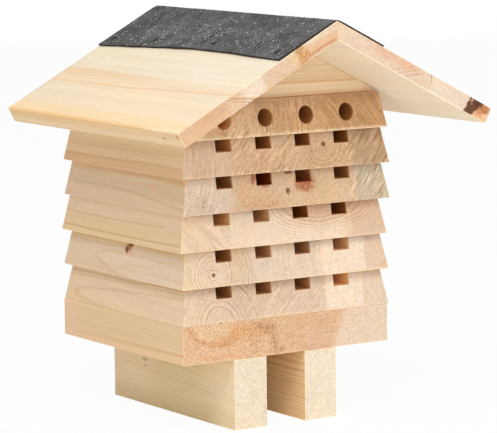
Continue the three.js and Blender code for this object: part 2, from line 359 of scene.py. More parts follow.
class Log:
    """The rings and fibres inside a board, and its two plain colours: on the face and on the end."""

    def __init__(self, name, face, end, pith, ring, lean=(0, 0), grain="y", knots=(), squash=1.0):
        self.material, self.net = blank_material(name)
        self.locate(grain)
        self.grow(pith, ring, lean, knots, squash)
        fine = self.net.noise(self.place, 0.7, 2.0, 0.7) - 0.5
        self.marks = fine * 0.3 + (self.net.noise(self.place, 1.9, 1.0) - 0.5) * 0.3
        self.quiet = 1.0
        self.colour = self.net.mix(self.end, face, end)

    def locate(self, grain):
        """Where a point lies along, across and up, and whether it is on an end or on a face."""
        net = self.net
        seat = net.add("ShaderNodeTexCoord")
        self.place = seat["Object"] * (1 / MM)
        self.x, self.y, self.z = net.parts(self.place)
        facing = net.parts(seat["Normal"])
        self.along, self.across = (self.y, self.x) if grain == "y" else (self.x, self.y)
        self.end = net.fade(abs(facing[1] if grain == "y" else facing[0]), 0.55, 0.85)
        self.flat = 1 - self.end
        self.fibres = net.vector(self.across, self.along * 0.08, self.z)
        self.wave = net.noise(self.fibres + (9.0, 2.0, 5.0), 7, 1.0) - 0.5

    def grow(self, pith, ring, lean, knots, squash):
        """Count the years out from the pith. Each ends in a thin, darker line of late wood."""
        net = self.net
        drift = net.noise(self.fibres, 22, 1.5) - 0.5
        wander = net.noise(self.fibres + (40.0, 0.0, 17.0), 22, 1.5) - 0.5
        start = self.along - nest_front
        side = self.across - pith[0] - start * lean[0] + drift * 3.5
        rise = self.z - pith[1] - start * lean[1] + wander * 3.5
        radius = net.length(net.vector(side * squash, 0.0, rise))
        for at, size, push in knots:
            radius = radius + self.near(at, size) * push
        self.radius = radius
        self.angle = net.maths("ARCTAN2", rise, side)
        uneven = net.noise(net.vector(radius, 0.0, 0.0), 6.0, 0.0) * 2.4
        ripple = (net.noise(self.fibres, 2.6, 1.0) - 0.5) * 0.5
        years = radius / ring + uneven + ripple
        year = net.maths("FLOOR", years)
        within = years - year
        harvest = net.add("ShaderNodeTexWhiteNoise", {"noise_dimensions": "1D"}, {"W": year})["Value"]
        self.late = net.fade(within, 0.35, 0.88) * net.fade(within, 1.0, 0.92) * (harvest * 0.6 + 0.4)

    def reach(self, at, size):
        """How far a point is from a place, in sizes that may differ along x, y and z."""
        return self.net.length((self.place - tuple(at)) * tuple(1 / s for s in size))

    def near(self, at, size):
        """1 at a place, fading to 0 at a distance of one size."""
        return self.net.fade(self.reach(at, size), 1.0, 0.0)

    def between(self, value, low, high, soft):
        """1 where a value lies between two others, with soft ends."""
        return self.net.fade(value, low - soft, low + soft) * self.net.fade(value, high + soft, high - soft)

    def tint(self, mask, colour, way="MIX"):
        self.colour = self.net.mix(mask, self.colour, colour, way)


print("the rings are counted from a pith line that starts at y =", nest_front, "mm")

# %% [markdown]
# No two boards are alike, and what tells them apart is mostly local: a resin stain, a band of
# heartwood, one strong growth line, a knot. Finer noise alone could never put one of these in its
# place, and a painted picture would have no depth. So each is drawn in space, as a patch, a
# band or a smooth line through a few places, with an edge that the fibres make uneven.

# %% Stains, bands and growth lines
class MarkedBoard(Log):
    """A board that carries marks. Those of its left side are given as (y, z)."""

    def left_side(self, edge, drawn_share):
        """Left of an edge, this share of the counted rings gives way to lines that are drawn."""
        self.left = self.net.fade(self.x, edge + 8, edge) * self.flat
        self.quiet = 1 - self.left * drawn_share

    def stain(self, at, size, colour, amount, ragged=0.35):
        """A patch of colour with an uneven edge, such as resin, bark or a knot."""
        rough = self.net.noise(self.place, min(size) * 0.8, 2.0) - 0.5
        reach = self.reach(at, size) + rough * ragged * 2
        self.tint(self.net.fade(reach, 1.0, 0.45) * amount, colour)

    def front_stain(self, at, size, colour, amount, ragged=0.35, deep=30):
        """A stain at (x, z) on the front, of a width and a height."""
        self.stain((at[0], nest_front, at[1]), (size[0], deep, size[1]), colour, amount, ragged)

    def zone(self, value, low, high, colour, amount, soft, where):
        """A band of colour between two places across the board, such as heartwood or sapwood."""
        self.tint(self.between(value + self.wave * 3, low, high, soft) * amount * where, colour)

    def front_zone(self, low, high, colour, amount, soft):
        self.zone(self.x, low, high, colour, amount, soft, self.end)

    def left_zone(self, low, high, colour, amount, soft):
        self.zone(self.z, low, high, colour, amount, soft, self.left)

    def course(self, along, points):
        """The height of a smooth line through points, at each place along it."""
        low, high = points[0][0], points[-1][0]
        foot = min(height for _, height in points)
        rise = max(height for _, height in points) - foot + 0.1
        share = (along - low) * (1 / (high - low))
        node = self.net.add("ShaderNodeFloatCurve", None, {"Value": share})
        curve = node.node.mapping.curves[0]
        places = [((place - low) / (high - low), (height - foot) / rise) for place, height in points]
        curve.points[0].location = places[0]
        curve.points[1].location = places[-1]
        for place in places[1:-1]:
            curve.points.new(*place)
        node.node.mapping.update()
        return node["Value"] * rise + foot

    def line(self, along, height, points, width, colour, amount, where, ends=3.0):
        """A line, such as a growth line, drawn through places on a face, each given as (along, height)."""
        points = sorted(points)
        course = self.course(along, points)
        mask = self.net.fade(abs(height + self.wave * 0.8 - course), width, 0.0)
        mask = mask * self.between(along, points[0][0], points[-1][0], ends)
        self.tint(mask * where * amount, colour)

    def left_line(self, points, width, colour, amount):
        self.line(self.y, self.z, points, width, colour, amount, self.left)

    def left_arch(self, apex, tilt, spread, inner, edge, width=1.0, amount=0.7):
        """A growth ring cut at a slant on the left side: an arch that opens towards the front."""
        net = self.net
        run = apex[0] - self.y
        rise = (self.z + self.wave * 0.8 - apex[1] - run * tilt) * (1 / spread)
        steep = net.maths("SQRT", rise * rise * (4 / spread ** 2) + 1)
        apart = (run - rise * rise) / steep
        self.tint(net.fade(apart, -0.5, 3.0) * self.left * amount, inner)
        self.tint(net.fade(abs(apart), width * 1.3, 0.0) * self.left * amount * 0.65, edge)


print("a board can carry stains, zones, lines and arches")

# %% [markdown]
# Sawn end grain looks quite unlike a planed face. The saw has torn its fibres into short strokes that
# all lean one way, with flakes and specks between them, and a picture of that would be seen to repeat.
# Noise that is drawn out at an angle gives strokes and flakes without an end. Inside the grooves the
# wood gets a painted shade, browner than the face, because the light there has bounced from wood to
# wood more often than a render follows it, so the walls are given a tone of their own.

# %% End grain and the walls of the nests
board_half = 75
front_lean = 0.17
nest_side = 60
nest_end = 80
nest_borders = (-27, 0, 26)
nest_shade_base = (0.50, 0.24, 0.07)
nest_shade_lift = (0.74, 0.76, 0.62)
# Heights of the painted highlight at the foot of each front, and of the painted shade at its top.
painted_highlight_band = (2.2, 0.4)
shaded_top = (13, 19.5)


class EndGrainBoard(MarkedBoard):
    """A marked board with sawn ends, and with nests cut into its front one."""

    def turned_by(self, angle):
        """How far a point lies across strokes at an angle on the front, and how far along them."""
        cosine = math.cos(math.radians(angle))
        sine = math.sin(math.radians(angle))
        return self.across * sine - self.z * cosine, self.across * cosine + self.z * sine

    def strokes(self, angle, size, amount, low, high):
        """Streaks at an angle on the end grain, between two places across the board."""
        net = self.net
        sweep, stroke = self.turned_by(angle)
        streak = net.noise(net.vector(sweep, stroke * 0.12, self.along * 0.02), size, 1.0)
        broken = net.fade(net.noise(self.place, 8, 1.0), 0.38, 0.6) * 0.8 + 0.2
        where = self.between(self.across + self.wave * 4, low, high, 3.0) * broken
        self.marks = self.marks + (net.fade(streak, 0.36, 0.64) - 0.5) * where * amount

    def speckle(self, size, amount, low=-board_half, high=board_half):
        grain = self.net.noise(self.place, size, 1.0, 0.6)
        where = self.between(self.across, low, high, 4.0)
        self.marks = self.marks + (self.net.fade(grain, 0.38, 0.62) - 0.5) * where * amount

    def window(self, low, high, foot, top):
        """1 on the end grain between two places across and two heights, with uneven edges."""
        across = self.between(self.across + self.wave * 6, low, high, 3.0)
        return across * self.between(self.z + self.wave * 5, foot, top, 1.5) * self.end

    def around(self, x, z, wide, high):
        """1 at a place on the front, fading out round it."""
        return self.near((x, nest_front, z), (wide * 1.4, 30, high * 1.4)) * self.end

    def flecks(self, where, colour, amount, angle=50, size=1.0):
        """Torn flakes or specks of resin in the end grain, drawn out at an angle, inside a mask."""
        sweep, stroke = self.turned_by(angle)
        fleck = self.net.noise(self.net.vector(sweep, stroke * 0.45, self.along), size, 2.0, 0.7)
        self.tint(self.net.fade(fleck, 0.52, 0.64) * where * amount, colour)

    def rings_within(self, low, high, top=400):
        """The rings on the end grain show only between two places across, and below a height."""
        shown = self.between(self.across + self.wave * 4, low, high, 5.0)
        shown = shown * self.net.fade(self.z, top + 2, top - 2)
        self.late = self.late * (self.flat + self.end * shown)

    def nest(self, foot, tones, foot_highlight):
        """The walls of the cuts get a painted shade, each of the four in its own tone. The front gets a
        painted highlight at its foot and a painted shade at its top, under the overhang.
        """
        net = self.net
        depth = self.y - nest_front - (self.z - foot) * front_lean
        inside = net.fade(abs(self.x), nest_side, nest_side - 2) * net.fade(depth, 0.3, 2.5)
        inside = inside * net.fade(self.y, nest_end, nest_end - 2)
        outside = self.end * (1 - inside)
        self.marks = self.marks * (1 - inside)
        # A painted highlight along the foot of the front.
        pale = net.fade(self.z, foot + painted_highlight_band[0], foot + painted_highlight_band[1])
        self.tint(pale * outside * foot_highlight, paint(250, 222, 184))
        # A painted shade along the top of the front, under the overhang of the board above.
        dim = net.fade(self.z, foot + shaded_top[0], foot + shaded_top[1])
        self.tint(dim * outside * 0.2, (0, 0, 0, 1))
        # The walls of the nests get a painted shade, browner and darker, in one tone for each of the four.
        tone = tones[0]
        for border, before, after in zip(nest_borders, tones, tones[1:]):
            tone = net.fade(self.x, border - 2, border + 2) * (after - before) + tone
        self.tint(inside, tone * nest_shade_lift + nest_shade_base, "MULTIPLY")


print("the four nests of a board part at x =", nest_borders, "mm")

# %% [markdown]
# What is left is common to all boards: soft patches, fine fibres and long streaks on a face, rays
# that run out from the pith on an end, and the late wood of each ring, which is darker and lies a
# little lower. Colour, roughness and bump could each have a noise of their own, but the same noises
# feed all three, so that what looks like a fibre also catches the light like one. The eased arrises
# are paler: partly because there the fibres are torn, and partly as a painted highlight.

# %% The finish of a board
late_wood = (0.72, 0.60, 0.46)
wood_roughness = 0.62
wood_shine = 0.3
fibre_depth = 0.12


class Plank(EndGrainBoard):
    """A board whose material can be closed."""

    def finish(self, late, reach, rest=0.35):
        """Close the material. Late wood shows by one amount on faces and by another on ends, where
        the rings fade to a rest beyond a reach from the pith."""
        net = self.net
        patch = net.noise(self.fibres + (7.0, 3.0, 11.0), 15.0, 2.0) - 0.5
        tone = net.noise(self.fibres + (3.0, 8.0, 1.0), 11.0, 1.0) - 0.5
        fibre = net.noise(self.fibres, 0.5, 2.0, 0.6) - 0.5
        streak = net.noise(net.vector(self.across, self.along * 0.025, self.z), 1.9, 2.0, 0.6) - 0.5
        rays = net.noise(net.vector(self.angle * 26, self.radius * 0.1, 0.0), 0.6, 1.0) - 0.5
        shade = patch * 0.12 + (fibre * 0.18 + streak * 0.16) * self.flat
        shade = shade + (self.marks + rays * 0.10) * self.end
        warmth = net.vector(shade * 0.8 + tone * 0.08 + 1, shade + 1, shade * 1.35 - tone * 0.2 + 1)
        body = self.colour * warmth
        broken = net.fade(net.noise(self.place, 7, 1.0), 0.34, 0.6) * 0.6 + 0.4
        rings = (net.fade(self.radius, reach * 1.5, reach) * (1 - rest) + rest) * broken
        share = self.late * (self.end * rings * late[1] + self.flat * self.quiet * late[0])
        body = net.mix(share, body, body * late_wood)
        # The marked arrises are paler: partly torn fibres, partly a painted highlight.
        arris = net.add("ShaderNodeAttribute", {"attribute_name": "arris"})["Fac"]
        body = net.mix(arris * 0.9, body, body * 1.35)
        height = (fibre + streak) * 0.4 * self.flat + self.marks * 2.0 * self.end - self.late * 0.3
        gloss = self.marks * 0.2 + self.end * 0.14 + self.late * 0.06 + wood_roughness
        net.surface(body, gloss, net.relief(height, 0.5, fibre_depth), {"Specular IOR Level": wood_shine})
        return self.material


print("late wood takes this share of red, green and blue:", late_wood)

# %% [markdown]
# Three things on the hotel follow a rule: the layers of the stack, the grit on the felt and the nails
# along it. Mesh code could make them too, but a geometry tree keeps their sizes as inputs with names.
# The result is wanted as a plain mesh, so a tree ends with real geometry and its material. It is run
# on points or on a sheet, the mesh is taken, and the object that carried the tree is thrown away.

# %% Helpers for geometry trees
def tree_with(name, inputs, output):
    """A geometry tree with named inputs, given as {kind: names}, its net and what it is given."""
    tree = bpy.data.node_groups.new(name, "GeometryNodeTree")
    for kind, labels in inputs.items():
        for label in labels:
            tree.interface.new_socket(name=label, in_out="INPUT", socket_type="NodeSocket" + kind)
    tree.interface.new_socket(name=output, in_out="OUTPUT", socket_type="NodeSocketGeometry")
    net = Net(tree)
    return tree, net, net.add("NodeGroupInput")


def close_tree(net, output, shape, material):
    shape = net.add("GeometryNodeRealizeInstances", None, {"Geometry": shape})["Geometry"]
    shape = net.add("GeometryNodeSetMaterial", None, {"Geometry": shape, "Material": material})
    net.add("NodeGroupOutput", None, {output: shape["Geometry"]})


def placed(net, shape, key, value):
    """A shape that is moved by its Translation or turned by its Rotation."""
    return net.add("GeometryNodeTransform", None, {"Geometry": shape, key: value})["Geometry"]


def copies(net, points, shape, more=None):
    sockets = {"Points": points, "Instance": shape, **(more or {})}
    return net.add("GeometryNodeInstanceOnPoints", None, sockets)["Instances"]


def carried(net, kind, name):
    """A value that the points carry as an attribute."""
    return net.add("GeometryNodeInputNamedAttribute", {"data_type": kind}, {"Name": name})["Attribute"]


def grown(name, tree, mesh, values):
    """The mesh that a geometry tree makes with these inputs. The modifier is gone afterwards."""
    seed = object_of(name, mesh)
    modifier = seed.modifiers.new("tree", "NODES")
    modifier.node_group = tree
    for item in tree.interface.items_tree:
        if item.in_out == "INPUT" and item.name in values:
            modifier[item.identifier] = values[item.name]
    seed.update_tag()
    ready = seed.evaluated_get(bpy.context.evaluated_depsgraph_get())
    made = bpy.data.meshes.new_from_object(ready)
    bpy.data.objects.remove(seed)
    return made


print("helpers are ready for the three trees")

# %% [markdown]
# The six layers of the stack are one family. Each is a box drawn in towards its top, with cuts that
# repeat at one pitch: square grooves in a tray, round holes in the top block. Six boards could be
# modelled by hand, but one geometry tree makes all of them from their sizes. The bores for the nails
# differ from layer to layer, so they come in as loose points, each with its own radius and length. A
# head's bore and its shank's overlap, so the boolean is told that the cutters cross each other.
# Without that it leaves open rims.

# %% The outline of a layer
layer_sizes = ["Width", "Depth", "Thickness", "Side Lean", "Front Lean", "Back Lean"]
groove_sizes = ["Groove Width", "Groove Depth", "Groove Length", "Groove Pitch", "Groove Shift"]
hole_sizes = ["Hole Radius", "Hole Height", "Hole Length", "Hole Pitch", "Hole Shift", "Overrun"]
layer_inputs = {
    "Geometry": ["Bores"],
    "Float": layer_sizes + groove_sizes + hole_sizes,
    "Int": ["Grooves", "Holes"],
    "Vector": ["Place"],
    "Material": ["Wood"],
}


def drawn_in_box(net, given):
    size = net.vector(given["Width"], given["Depth"], given["Thickness"])
    box = net.add("GeometryNodeMeshCube", None, {"Size": size})["Mesh"]
    x, y, z = net.parts(net.add("GeometryNodeInputPosition")["Position"])
    on_top = net.maths("GREATER_THAN", z, 0.0)
    in_front = net.maths("LESS_THAN", y, 0.0)
    inward_x = net.maths("SIGN", x) * given["Side Lean"] * -1
    inward_y = in_front * given["Front Lean"] - (1 - in_front) * given["Back Lean"]
    sockets = {"Geometry": box, "Offset": net.vector(inward_x, inward_y, 0.0) * on_top}
    leaning = net.add("GeometryNodeSetPosition", None, sockets)["Geometry"]
    return placed(net, leaning, "Translation", net.vector(0.0, 0.0, given["Thickness"] / 2))


print("a layer has", sum(len(labels) for labels in layer_inputs.values()), "inputs")

# %% The cutters of a layer
hole_sides = 48
bore_sides = 20


def row_of(net, count, pitch, shift, y, z, cutter):
    """Copies of a cutter in a row across the front."""
    first_x = (1 - count) * pitch / 2 + shift
    sockets = {"Count": count, "Start Location": net.vector(first_x, y, z)}
    sockets["Offset"] = net.vector(pitch, 0.0, 0.0)
    return copies(net, net.add("GeometryNodeMeshLine", None, sockets)["Mesh"], cutter)


def groove_cutters(net, given):
    over = given["Overrun"]
    length = given["Groove Length"] + over
    size = net.vector(given["Groove Width"], length, given["Groove Depth"] + over)
    groove = net.add("GeometryNodeMeshCube", None, {"Size": size})["Mesh"]
    z = given["Thickness"] - (given["Groove Depth"] - over) / 2
    y = given["Depth"] / -2 + (given["Groove Length"] - over) / 2
    return row_of(net, given["Grooves"], given["Groove Pitch"], given["Groove Shift"], y, z, groove)


def hole_cutters(net, given):
    over = given["Overrun"]
    sockets = {"Vertices": hole_sides, "Radius": given["Hole Radius"], "Depth": given["Hole Length"] + over}
    drill = net.add("GeometryNodeMeshCylinder", None, sockets)["Mesh"]
    drill = placed(net, drill, "Rotation", (math.pi / 2, 0, 0))
    y = given["Depth"] / -2 + (given["Hole Length"] - over) / 2
    z = given["Hole Height"]
    return row_of(net, given["Holes"], given["Hole Pitch"], given["Hole Shift"], y, z, drill)


def bore_cutters(net, given):
    """A pin of unit size at each point, scaled by the bore that the point carries."""
    sockets = {"Vertices": bore_sides, "Radius": 1.0, "Depth": 1.0}
    pin = net.add("GeometryNodeMeshCylinder", None, sockets)["Mesh"]
    pin = placed(net, pin, "Translation", (0, 0, 0.5))
    return copies(net, given["Bores"], pin, {"Scale": carried(net, "FLOAT_VECTOR", "bore")})


def cut(net, board, cutters):
    solid = net.add("GeometryNodeRealizeInstances", None, {"Geometry": cutters})["Geometry"]
    sockets = {"Mesh 1": board, "Mesh 2": solid, "Self Intersection": True}
    settings = {"operation": "DIFFERENCE", "solver": "EXACT"}
    return net.add("GeometryNodeMeshBoolean", settings, sockets)["Mesh"]


print("sides of a hole and of a bore:", hole_sides, "and", bore_sides)

# %% The tree that makes a layer
stack_tree, stack, given = tree_with("layer_of_the_stack", layer_inputs, "Board")
board = drawn_in_box(stack, given)
board = cut(stack, board, groove_cutters(stack, given))
board = cut(stack, board, hole_cutters(stack, given))
board = placed(stack, board, "Translation", given["Place"])
board = cut(stack, board, bore_cutters(stack, given))
close_tree(stack, "Board", board, given["Wood"])
print("nodes in the layer's tree:", len(stack_tree.nodes))

# %% [markdown]
# A board that has been planed has arrises, not razor edges: each long corner is rounded over by a
# fraction of a millimetre, and its torn fibres look paler. A Bevel modifier could round them, but a
# bevel in mesh code can also mark the faces that it makes, so that the wood is paler there, most of
# all on lower front ones. That paleness is partly torn fibres and partly a painted highlight, which is
# strongest on the lower front arrises, because they face away from the lamps. The seam at the ridge
# stays sharp, because there the roof boards are butted together. Faces with more than four corners
# are split at the end, and splinters without any width are dissolved.

# %% Ease the arrises of a board
arris_width = 0.45 * MM
arris_steps = 2
arris_angle = math.radians(25)
flat_angle = math.radians(0.5)
merge_reach = 0.002 * MM
seam_width = 0.3 * MM
short_edge = 5 * MM
large_face = 100 * MM * MM
ridge_x = -1.1 * MM
hairline = 0.001 * MM
lower_front_highlight = 1.0
other_arris_highlight = 0.3
arris_profile = 0.6


def is_arris(edge):
    if len(edge.link_faces) != 2 or edge.calc_face_angle_signed() < arris_angle:
        return False
    if all(abs(corner.co.x - ridge_x) < seam_width for corner in edge.verts):
        return False
    fronts = [face for face in edge.link_faces if face.normal.y < -0.9 and face.calc_area() > large_face]
    return edge.calc_length() > short_edge or bool(fronts)


def eased(name, mesh, material):
    shape = bmesh.new()
    shape.from_mesh(mesh)
    bmesh.ops.remove_doubles(shape, verts=shape.verts, dist=merge_reach)
    bmesh.ops.dissolve_limit(shape, angle_limit=flat_angle, verts=shape.verts, edges=shape.edges)
    mark = shape.faces.layers.float.new("arris")
    sharp = [edge for edge in shape.edges if is_arris(edge)]
    rounding = {"offset": arris_width, "segments": arris_steps, "profile": arris_profile}
    rounding.update(affect="EDGES", clamp_overlap=True)
    for face in bmesh.ops.bevel(shape, geom=sharp, **rounding)["faces"]:
        face.normal_update()
        below_front = face.normal.z < -0.2 and face.normal.y < -0.2
        # The mark sets how strong the painted highlight is: strongest on lower front arrises.
        face[mark] = lower_front_highlight if below_front else other_arris_highlight
    many_sided = [face for face in shape.faces if len(face.verts) > 4]
    bmesh.ops.triangulate(shape, faces=many_sided, ngon_method="BEAUTY")
    bmesh.ops.dissolve_degenerate(shape, edges=shape.edges, dist=hairline)
    smooth = bpy.data.meshes.new(name)
    shape.to_mesh(smooth)
    shape.free()
    return object_of(name, smooth, material)


print("an arris is", round(arris_width / MM, 2), "mm wide")

# %% [markdown]
# Nails hold the layers together, so each board has a bore where one passes. The bores could be listed
# by hand, but then a nail that is moved would miss its bore. So their places come from the nails
# themselves: any nail whose length reaches into a board gives it one bore for the shank, and a wider
# one where its head is let in.

# %% Bores for the nails
shank_radius = 0.9 * MM
nail_head_radius = 2 * MM
nail_head_height = 1 * MM
nail_clearance = 0.3 * MM
overrun = 2 * MM


def bores_in(board):
    low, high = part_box(board)
    bores = []
    for name in sorted(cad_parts):
        foot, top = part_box(name)
        if "nail" not in name or "roof" in name or "felt" in name:
            continue
        if top.z < low.z or foot.z > high.z - nail_clearance:
            continue
        middle = (foot + top) / 2
        start = max(foot.z - nail_clearance, low.z - overrun)
        stop = min(top.z, high.z + overrun)
        bores.append((middle.x, middle.y, start, stop + nail_clearance, shank_radius))
        if abs(top.z - high.z) < nail_clearance:
            bores.append((middle.x, middle.y, top.z - nail_head_height, top.z + overrun, nail_head_radius))
        if abs(foot.z - low.z) < nail_clearance:
            start = foot.z - overrun
            bores.append((middle.x, middle.y, start, foot.z + nail_head_height, nail_head_radius))
    return bores


def bore_points(name, bores):
    points = bpy.data.meshes.new(name)
    points.from_pydata([bore[:3] for bore in bores], [], [])
    reach = points.attributes.new("bore", "FLOAT_VECTOR", "POINT")
    for row, (_, _, start, stop, radius) in zip(reach.data, bores):
        wide = radius + nail_clearance
        row.vector = (wide, wide, stop - start)
    return points


print("bores in the lowest tray:", len(bores_in("tray_5")))

# %% [markdown]
# The trays were sawn from different logs. One wood could serve them all with another seed for each,
# but on the real ones no two are alike, and the eye knows it. So each has its own pith, rings and tone,
# and the pith's place is where the rings centre on the front. What marks a single board out is added
# one by one. The colours are those of wood in plain light.

# %% Colours that the trays share
knot_brown = paint(124, 70, 16)
tan_line = paint(216, 180, 130)
woods = {}


def keep_wood(node, material):
    woods[node] = material
    print(node, "has a wood of", len(material.node_tree.nodes), "nodes")


print("knot brown in linear light:", [round(share, 3) for share in knot_brown[:3]])

# %% [markdown]
# Tray 1 lies just under the drilled block. Its rings centre on a small dark pith between the third and
# the fourth groove, and fade out at these grooves. Strokes of the saw cover the left half, and the
# right end is darker heartwood. A reddish band and a pale one run along its left side. A ring pattern
# alone would look machine-made here, so torn flecks break it up.

# %% Tray 1, under the drilled block
def tray_1_wood():
    plank = Plank("tray_1_wood", paint(240, 208, 167), paint(227, 189, 153), (25.4, 154.1), ring=1.8)
    plank.left_side(-60, 0.7)
    plank.left_zone(138, 146, paint(232, 189, 147), 0.8, 1.0)
    plank.left_zone(156, 163, paint(252, 226, 188), 0.8, 1.2)
    plank.left_line([(88, 146), (40, 145.6), (0, 146.4), (-40, 146)], 1.1, tan_line, 0.6)
    plank.left_line([(88, 151), (40, 151.5), (-40, 152.6)], 0.8, tan_line, 0.35)
    plank.front_zone(-75, -36, paint(230, 199, 170), 0.75, 6.0)
    plank.front_zone(44, 75, paint(195, 160, 125), 0.85, 5.0)
    plank.front_stain((-15, 149), (9, 5), paint(224, 178, 148), 0.6, 0.7, deep=20)
    plank.front_stain((-3, 146), (5, 5), paint(222, 178, 146), 0.5, 0.8, deep=20)
    plank.front_zone(14, 40, paint(223, 185, 144), 0.5, 5.0)
    plank.front_stain((25.4, 153.8), (2.0, 1.8), paint(130, 76, 42), 0.95, deep=60)
    plank.flecks(plank.window(-34, 44, 141, 160), paint(240, 208, 168), 0.4)
    pepper = plank.around(-17, 146, 8, 5) + plank.around(3, 143, 9, 3) + plank.around(19, 144, 8, 3)
    plank.flecks(pepper, paint(192, 142, 106), 0.6)
    plank.flecks(plank.around(13, 150.5, 5, 3), paint(188, 140, 96), 0.5)
    plank.rings_within(12, 42, 152.5)
    plank.strokes(85, 1.3, 0.24, -75, -40)
    plank.strokes(48, 1.2, 0.42, -38, 10)
    plank.strokes(50, 1.3, 0.62, 40, 75)
    plank.speckle(1.2, 0.18, -30, 44)
    plank.nest(140.8, (0.42, 0.13, 0.08, 0.03), 0.2)
    return plank.finish((0.5, 0.8), 15, 0.1)


keep_wood("tray_1", tray_1_wood())

# %% [markdown]
# Tray 2 is the liveliest board. A knot was sawn through beside its pith, and left a reddish whorl
# round the foot of the third groove, with small brown marks nearby. The whorl could be modelled as a
# dent, but the saw left it flat, so it is colour only: a few ragged stains laid over each other, wide
# and pale ones first, small and dark ones last.

# %% Tray 2, with the whorl
def tray_2_wood():
    plank = Plank("tray_2_wood", paint(230, 200, 163), paint(230, 194, 158), (1.4, 129.8), ring=1.9)
    plank.left_side(-60, 0.8)
    plank.left_zone(118, 128, paint(242, 209, 176), 0.8, 2.0)
    # The top band of the left side is partly the wood's tone and partly painted shade under the overhang of
    # tray 1.
    plank.left_zone(137, 142, paint(228, 190, 142), 0.7, 1.0)
    grey = [(80, 129.3), (30, 129.3), (0, 127.6), (-30, 125), (-40, 124)]
    plank.left_line(grey, 1.4, paint(208, 180, 142), 0.45)
    pale = [(80, 131), (10, 131), (-10, 129.6), (-36, 126.4)]
    plank.left_line(pale, 1.3, paint(230, 206, 172), 0.6)
    upper = [(40, 136.4), (0, 136.2), (-36, 135)]
    plank.left_line(upper, 1.5, paint(232, 212, 178), 0.6)
    plank.left_line([(60, 138), (0, 138.6), (-36, 138)], 0.8, paint(210, 170, 124), 0.6)
    plank.stain((-66, -2, 134), (6, 10, 1.6), paint(236, 188, 150), 0.6, 0.4)
    plank.front_zone(-75, -36, paint(237, 215, 193), 0.85, 6.0)
    plank.front_zone(47, 75, paint(216, 197, 171), 0.9, 4.0)
    plank.front_stain((-16, 124), (17, 3.6), paint(229, 178, 134), 0.6, 0.9)
    plank.flecks(plank.around(-16, 124, 16, 4.5), paint(196, 136, 92), 0.75)
    plank.flecks(plank.around(-26, 130, 4, 7), paint(206, 150, 106), 0.6)
    plank.flecks(plank.around(-54, 126, 7, 5), paint(176, 152, 128), 0.6)
    plank.front_stain((-27, 131), (6, 8), paint(234, 188, 138), 0.6, 0.7)
    plank.front_stain((24, 129), (7, 9), paint(222, 192, 152), 0.6, 0.7)
    plank.front_stain((1.4, 129.6), (1.8, 2.5), paint(112, 60, 26), 0.95, 0.4, deep=40)
    plank.front_stain((2.4, 139.8), (3.6, 1.7), paint(140, 88, 54), 0.9, 0.5)
    plank.front_stain((13.4, 133.6), (9.6, 7.0), paint(204, 146, 102), 0.8, 0.4)
    plank.front_stain((12.8, 133.4), (8.6, 6.0), paint(184, 110, 70), 0.9, 0.5)
    plank.front_stain((-20.6, 138), (2.4, 4.4), paint(184, 112, 72), 0.85, 0.5)
    plank.front_stain((-13, 133.2), (4, 1.2), paint(176, 112, 76), 0.7, 0.6)
    plank.flecks(plank.window(-34, 44, 121, 140), paint(244, 216, 176), 0.45, 75)
    plank.strokes(70, 1.3, 0.24, -75, -36)
    plank.strokes(52, 1.2, 0.56, 42, 75)
    plank.speckle(1.2, 0.11)
    plank.nest(120.75, (0.18, -0.2, 0.22, 0.18), 0.0)
    return plank.finish((0.5, 0.06), 14, 0.2)


keep_wood("tray_2", tray_2_wood())

# %% [markdown]
# Tray 3 is the palest. Its pith lies just above it, and its rings are wide, flat arcs. Round rings
# could be given a pith far below instead, but then they would curve alike everywhere, so the rings are
# measured with their width pressed together. On the left side only thin, almost straight lines show,
# and they are drawn as lines, because counted rings would wander too much.

# %% Tray 3, the palest
def tray_3_wood():
    face = paint(238, 209, 174)
    end = paint(252, 227, 199)
    plank = Plank("tray_3_wood", face, end, (25.7, 123), ring=1.6, squash=0.45)
    plank.left_side(-60, 0.7)
    plank.left_zone(99, 112, paint(236, 205, 158), 0.7, 2.5)
    plank.left_line([(86, 113), (40, 112), (10, 112.4), (-20, 113)], 1.0, tan_line, 0.55)
    dark = [(86, 104.6), (30, 104), (-20, 104.3), (-40, 105)]
    plank.left_line(dark, 0.9, tan_line, 0.9)
    pale = [(86, 102.6), (20, 102.3), (-40, 103)]
    plank.left_line(pale, 0.8, paint(242, 214, 172), 0.7)
    plank.front_zone(-75, -40, paint(247, 212, 174), 0.7, 8.0)
    plank.front_zone(42, 75, paint(226, 187, 154), 0.7, 6.0)
    heart = plank.net.fade(plank.radius, 17, 9) * plank.net.fade(plank.x, -14, 6)
    plank.tint(heart * plank.end * 0.75, paint(226, 184, 148))
    plank.strokes(130, 1.6, 0.22, -75, -36)
    plank.nest(100.7, (0.9, 0.9, -0.05, -0.03), 0.3)
    return plank.finish((0.5, 0.85), 16, 0.04)


keep_wood("tray_3", tray_3_wood())

# %% [markdown]
# Tray 4 shows what a log looks like from the side. Its growth rings were cut at a slant, so they run
# out in long arches, with a brown knot near the top. Counted rings would give such arches too, but
# never just there, so they are drawn as parabolas that open towards the front. The knot pushes the
# counted rings aside, and four stains make its ragged brown spots. The front has strips of different
# tones with hard borders.

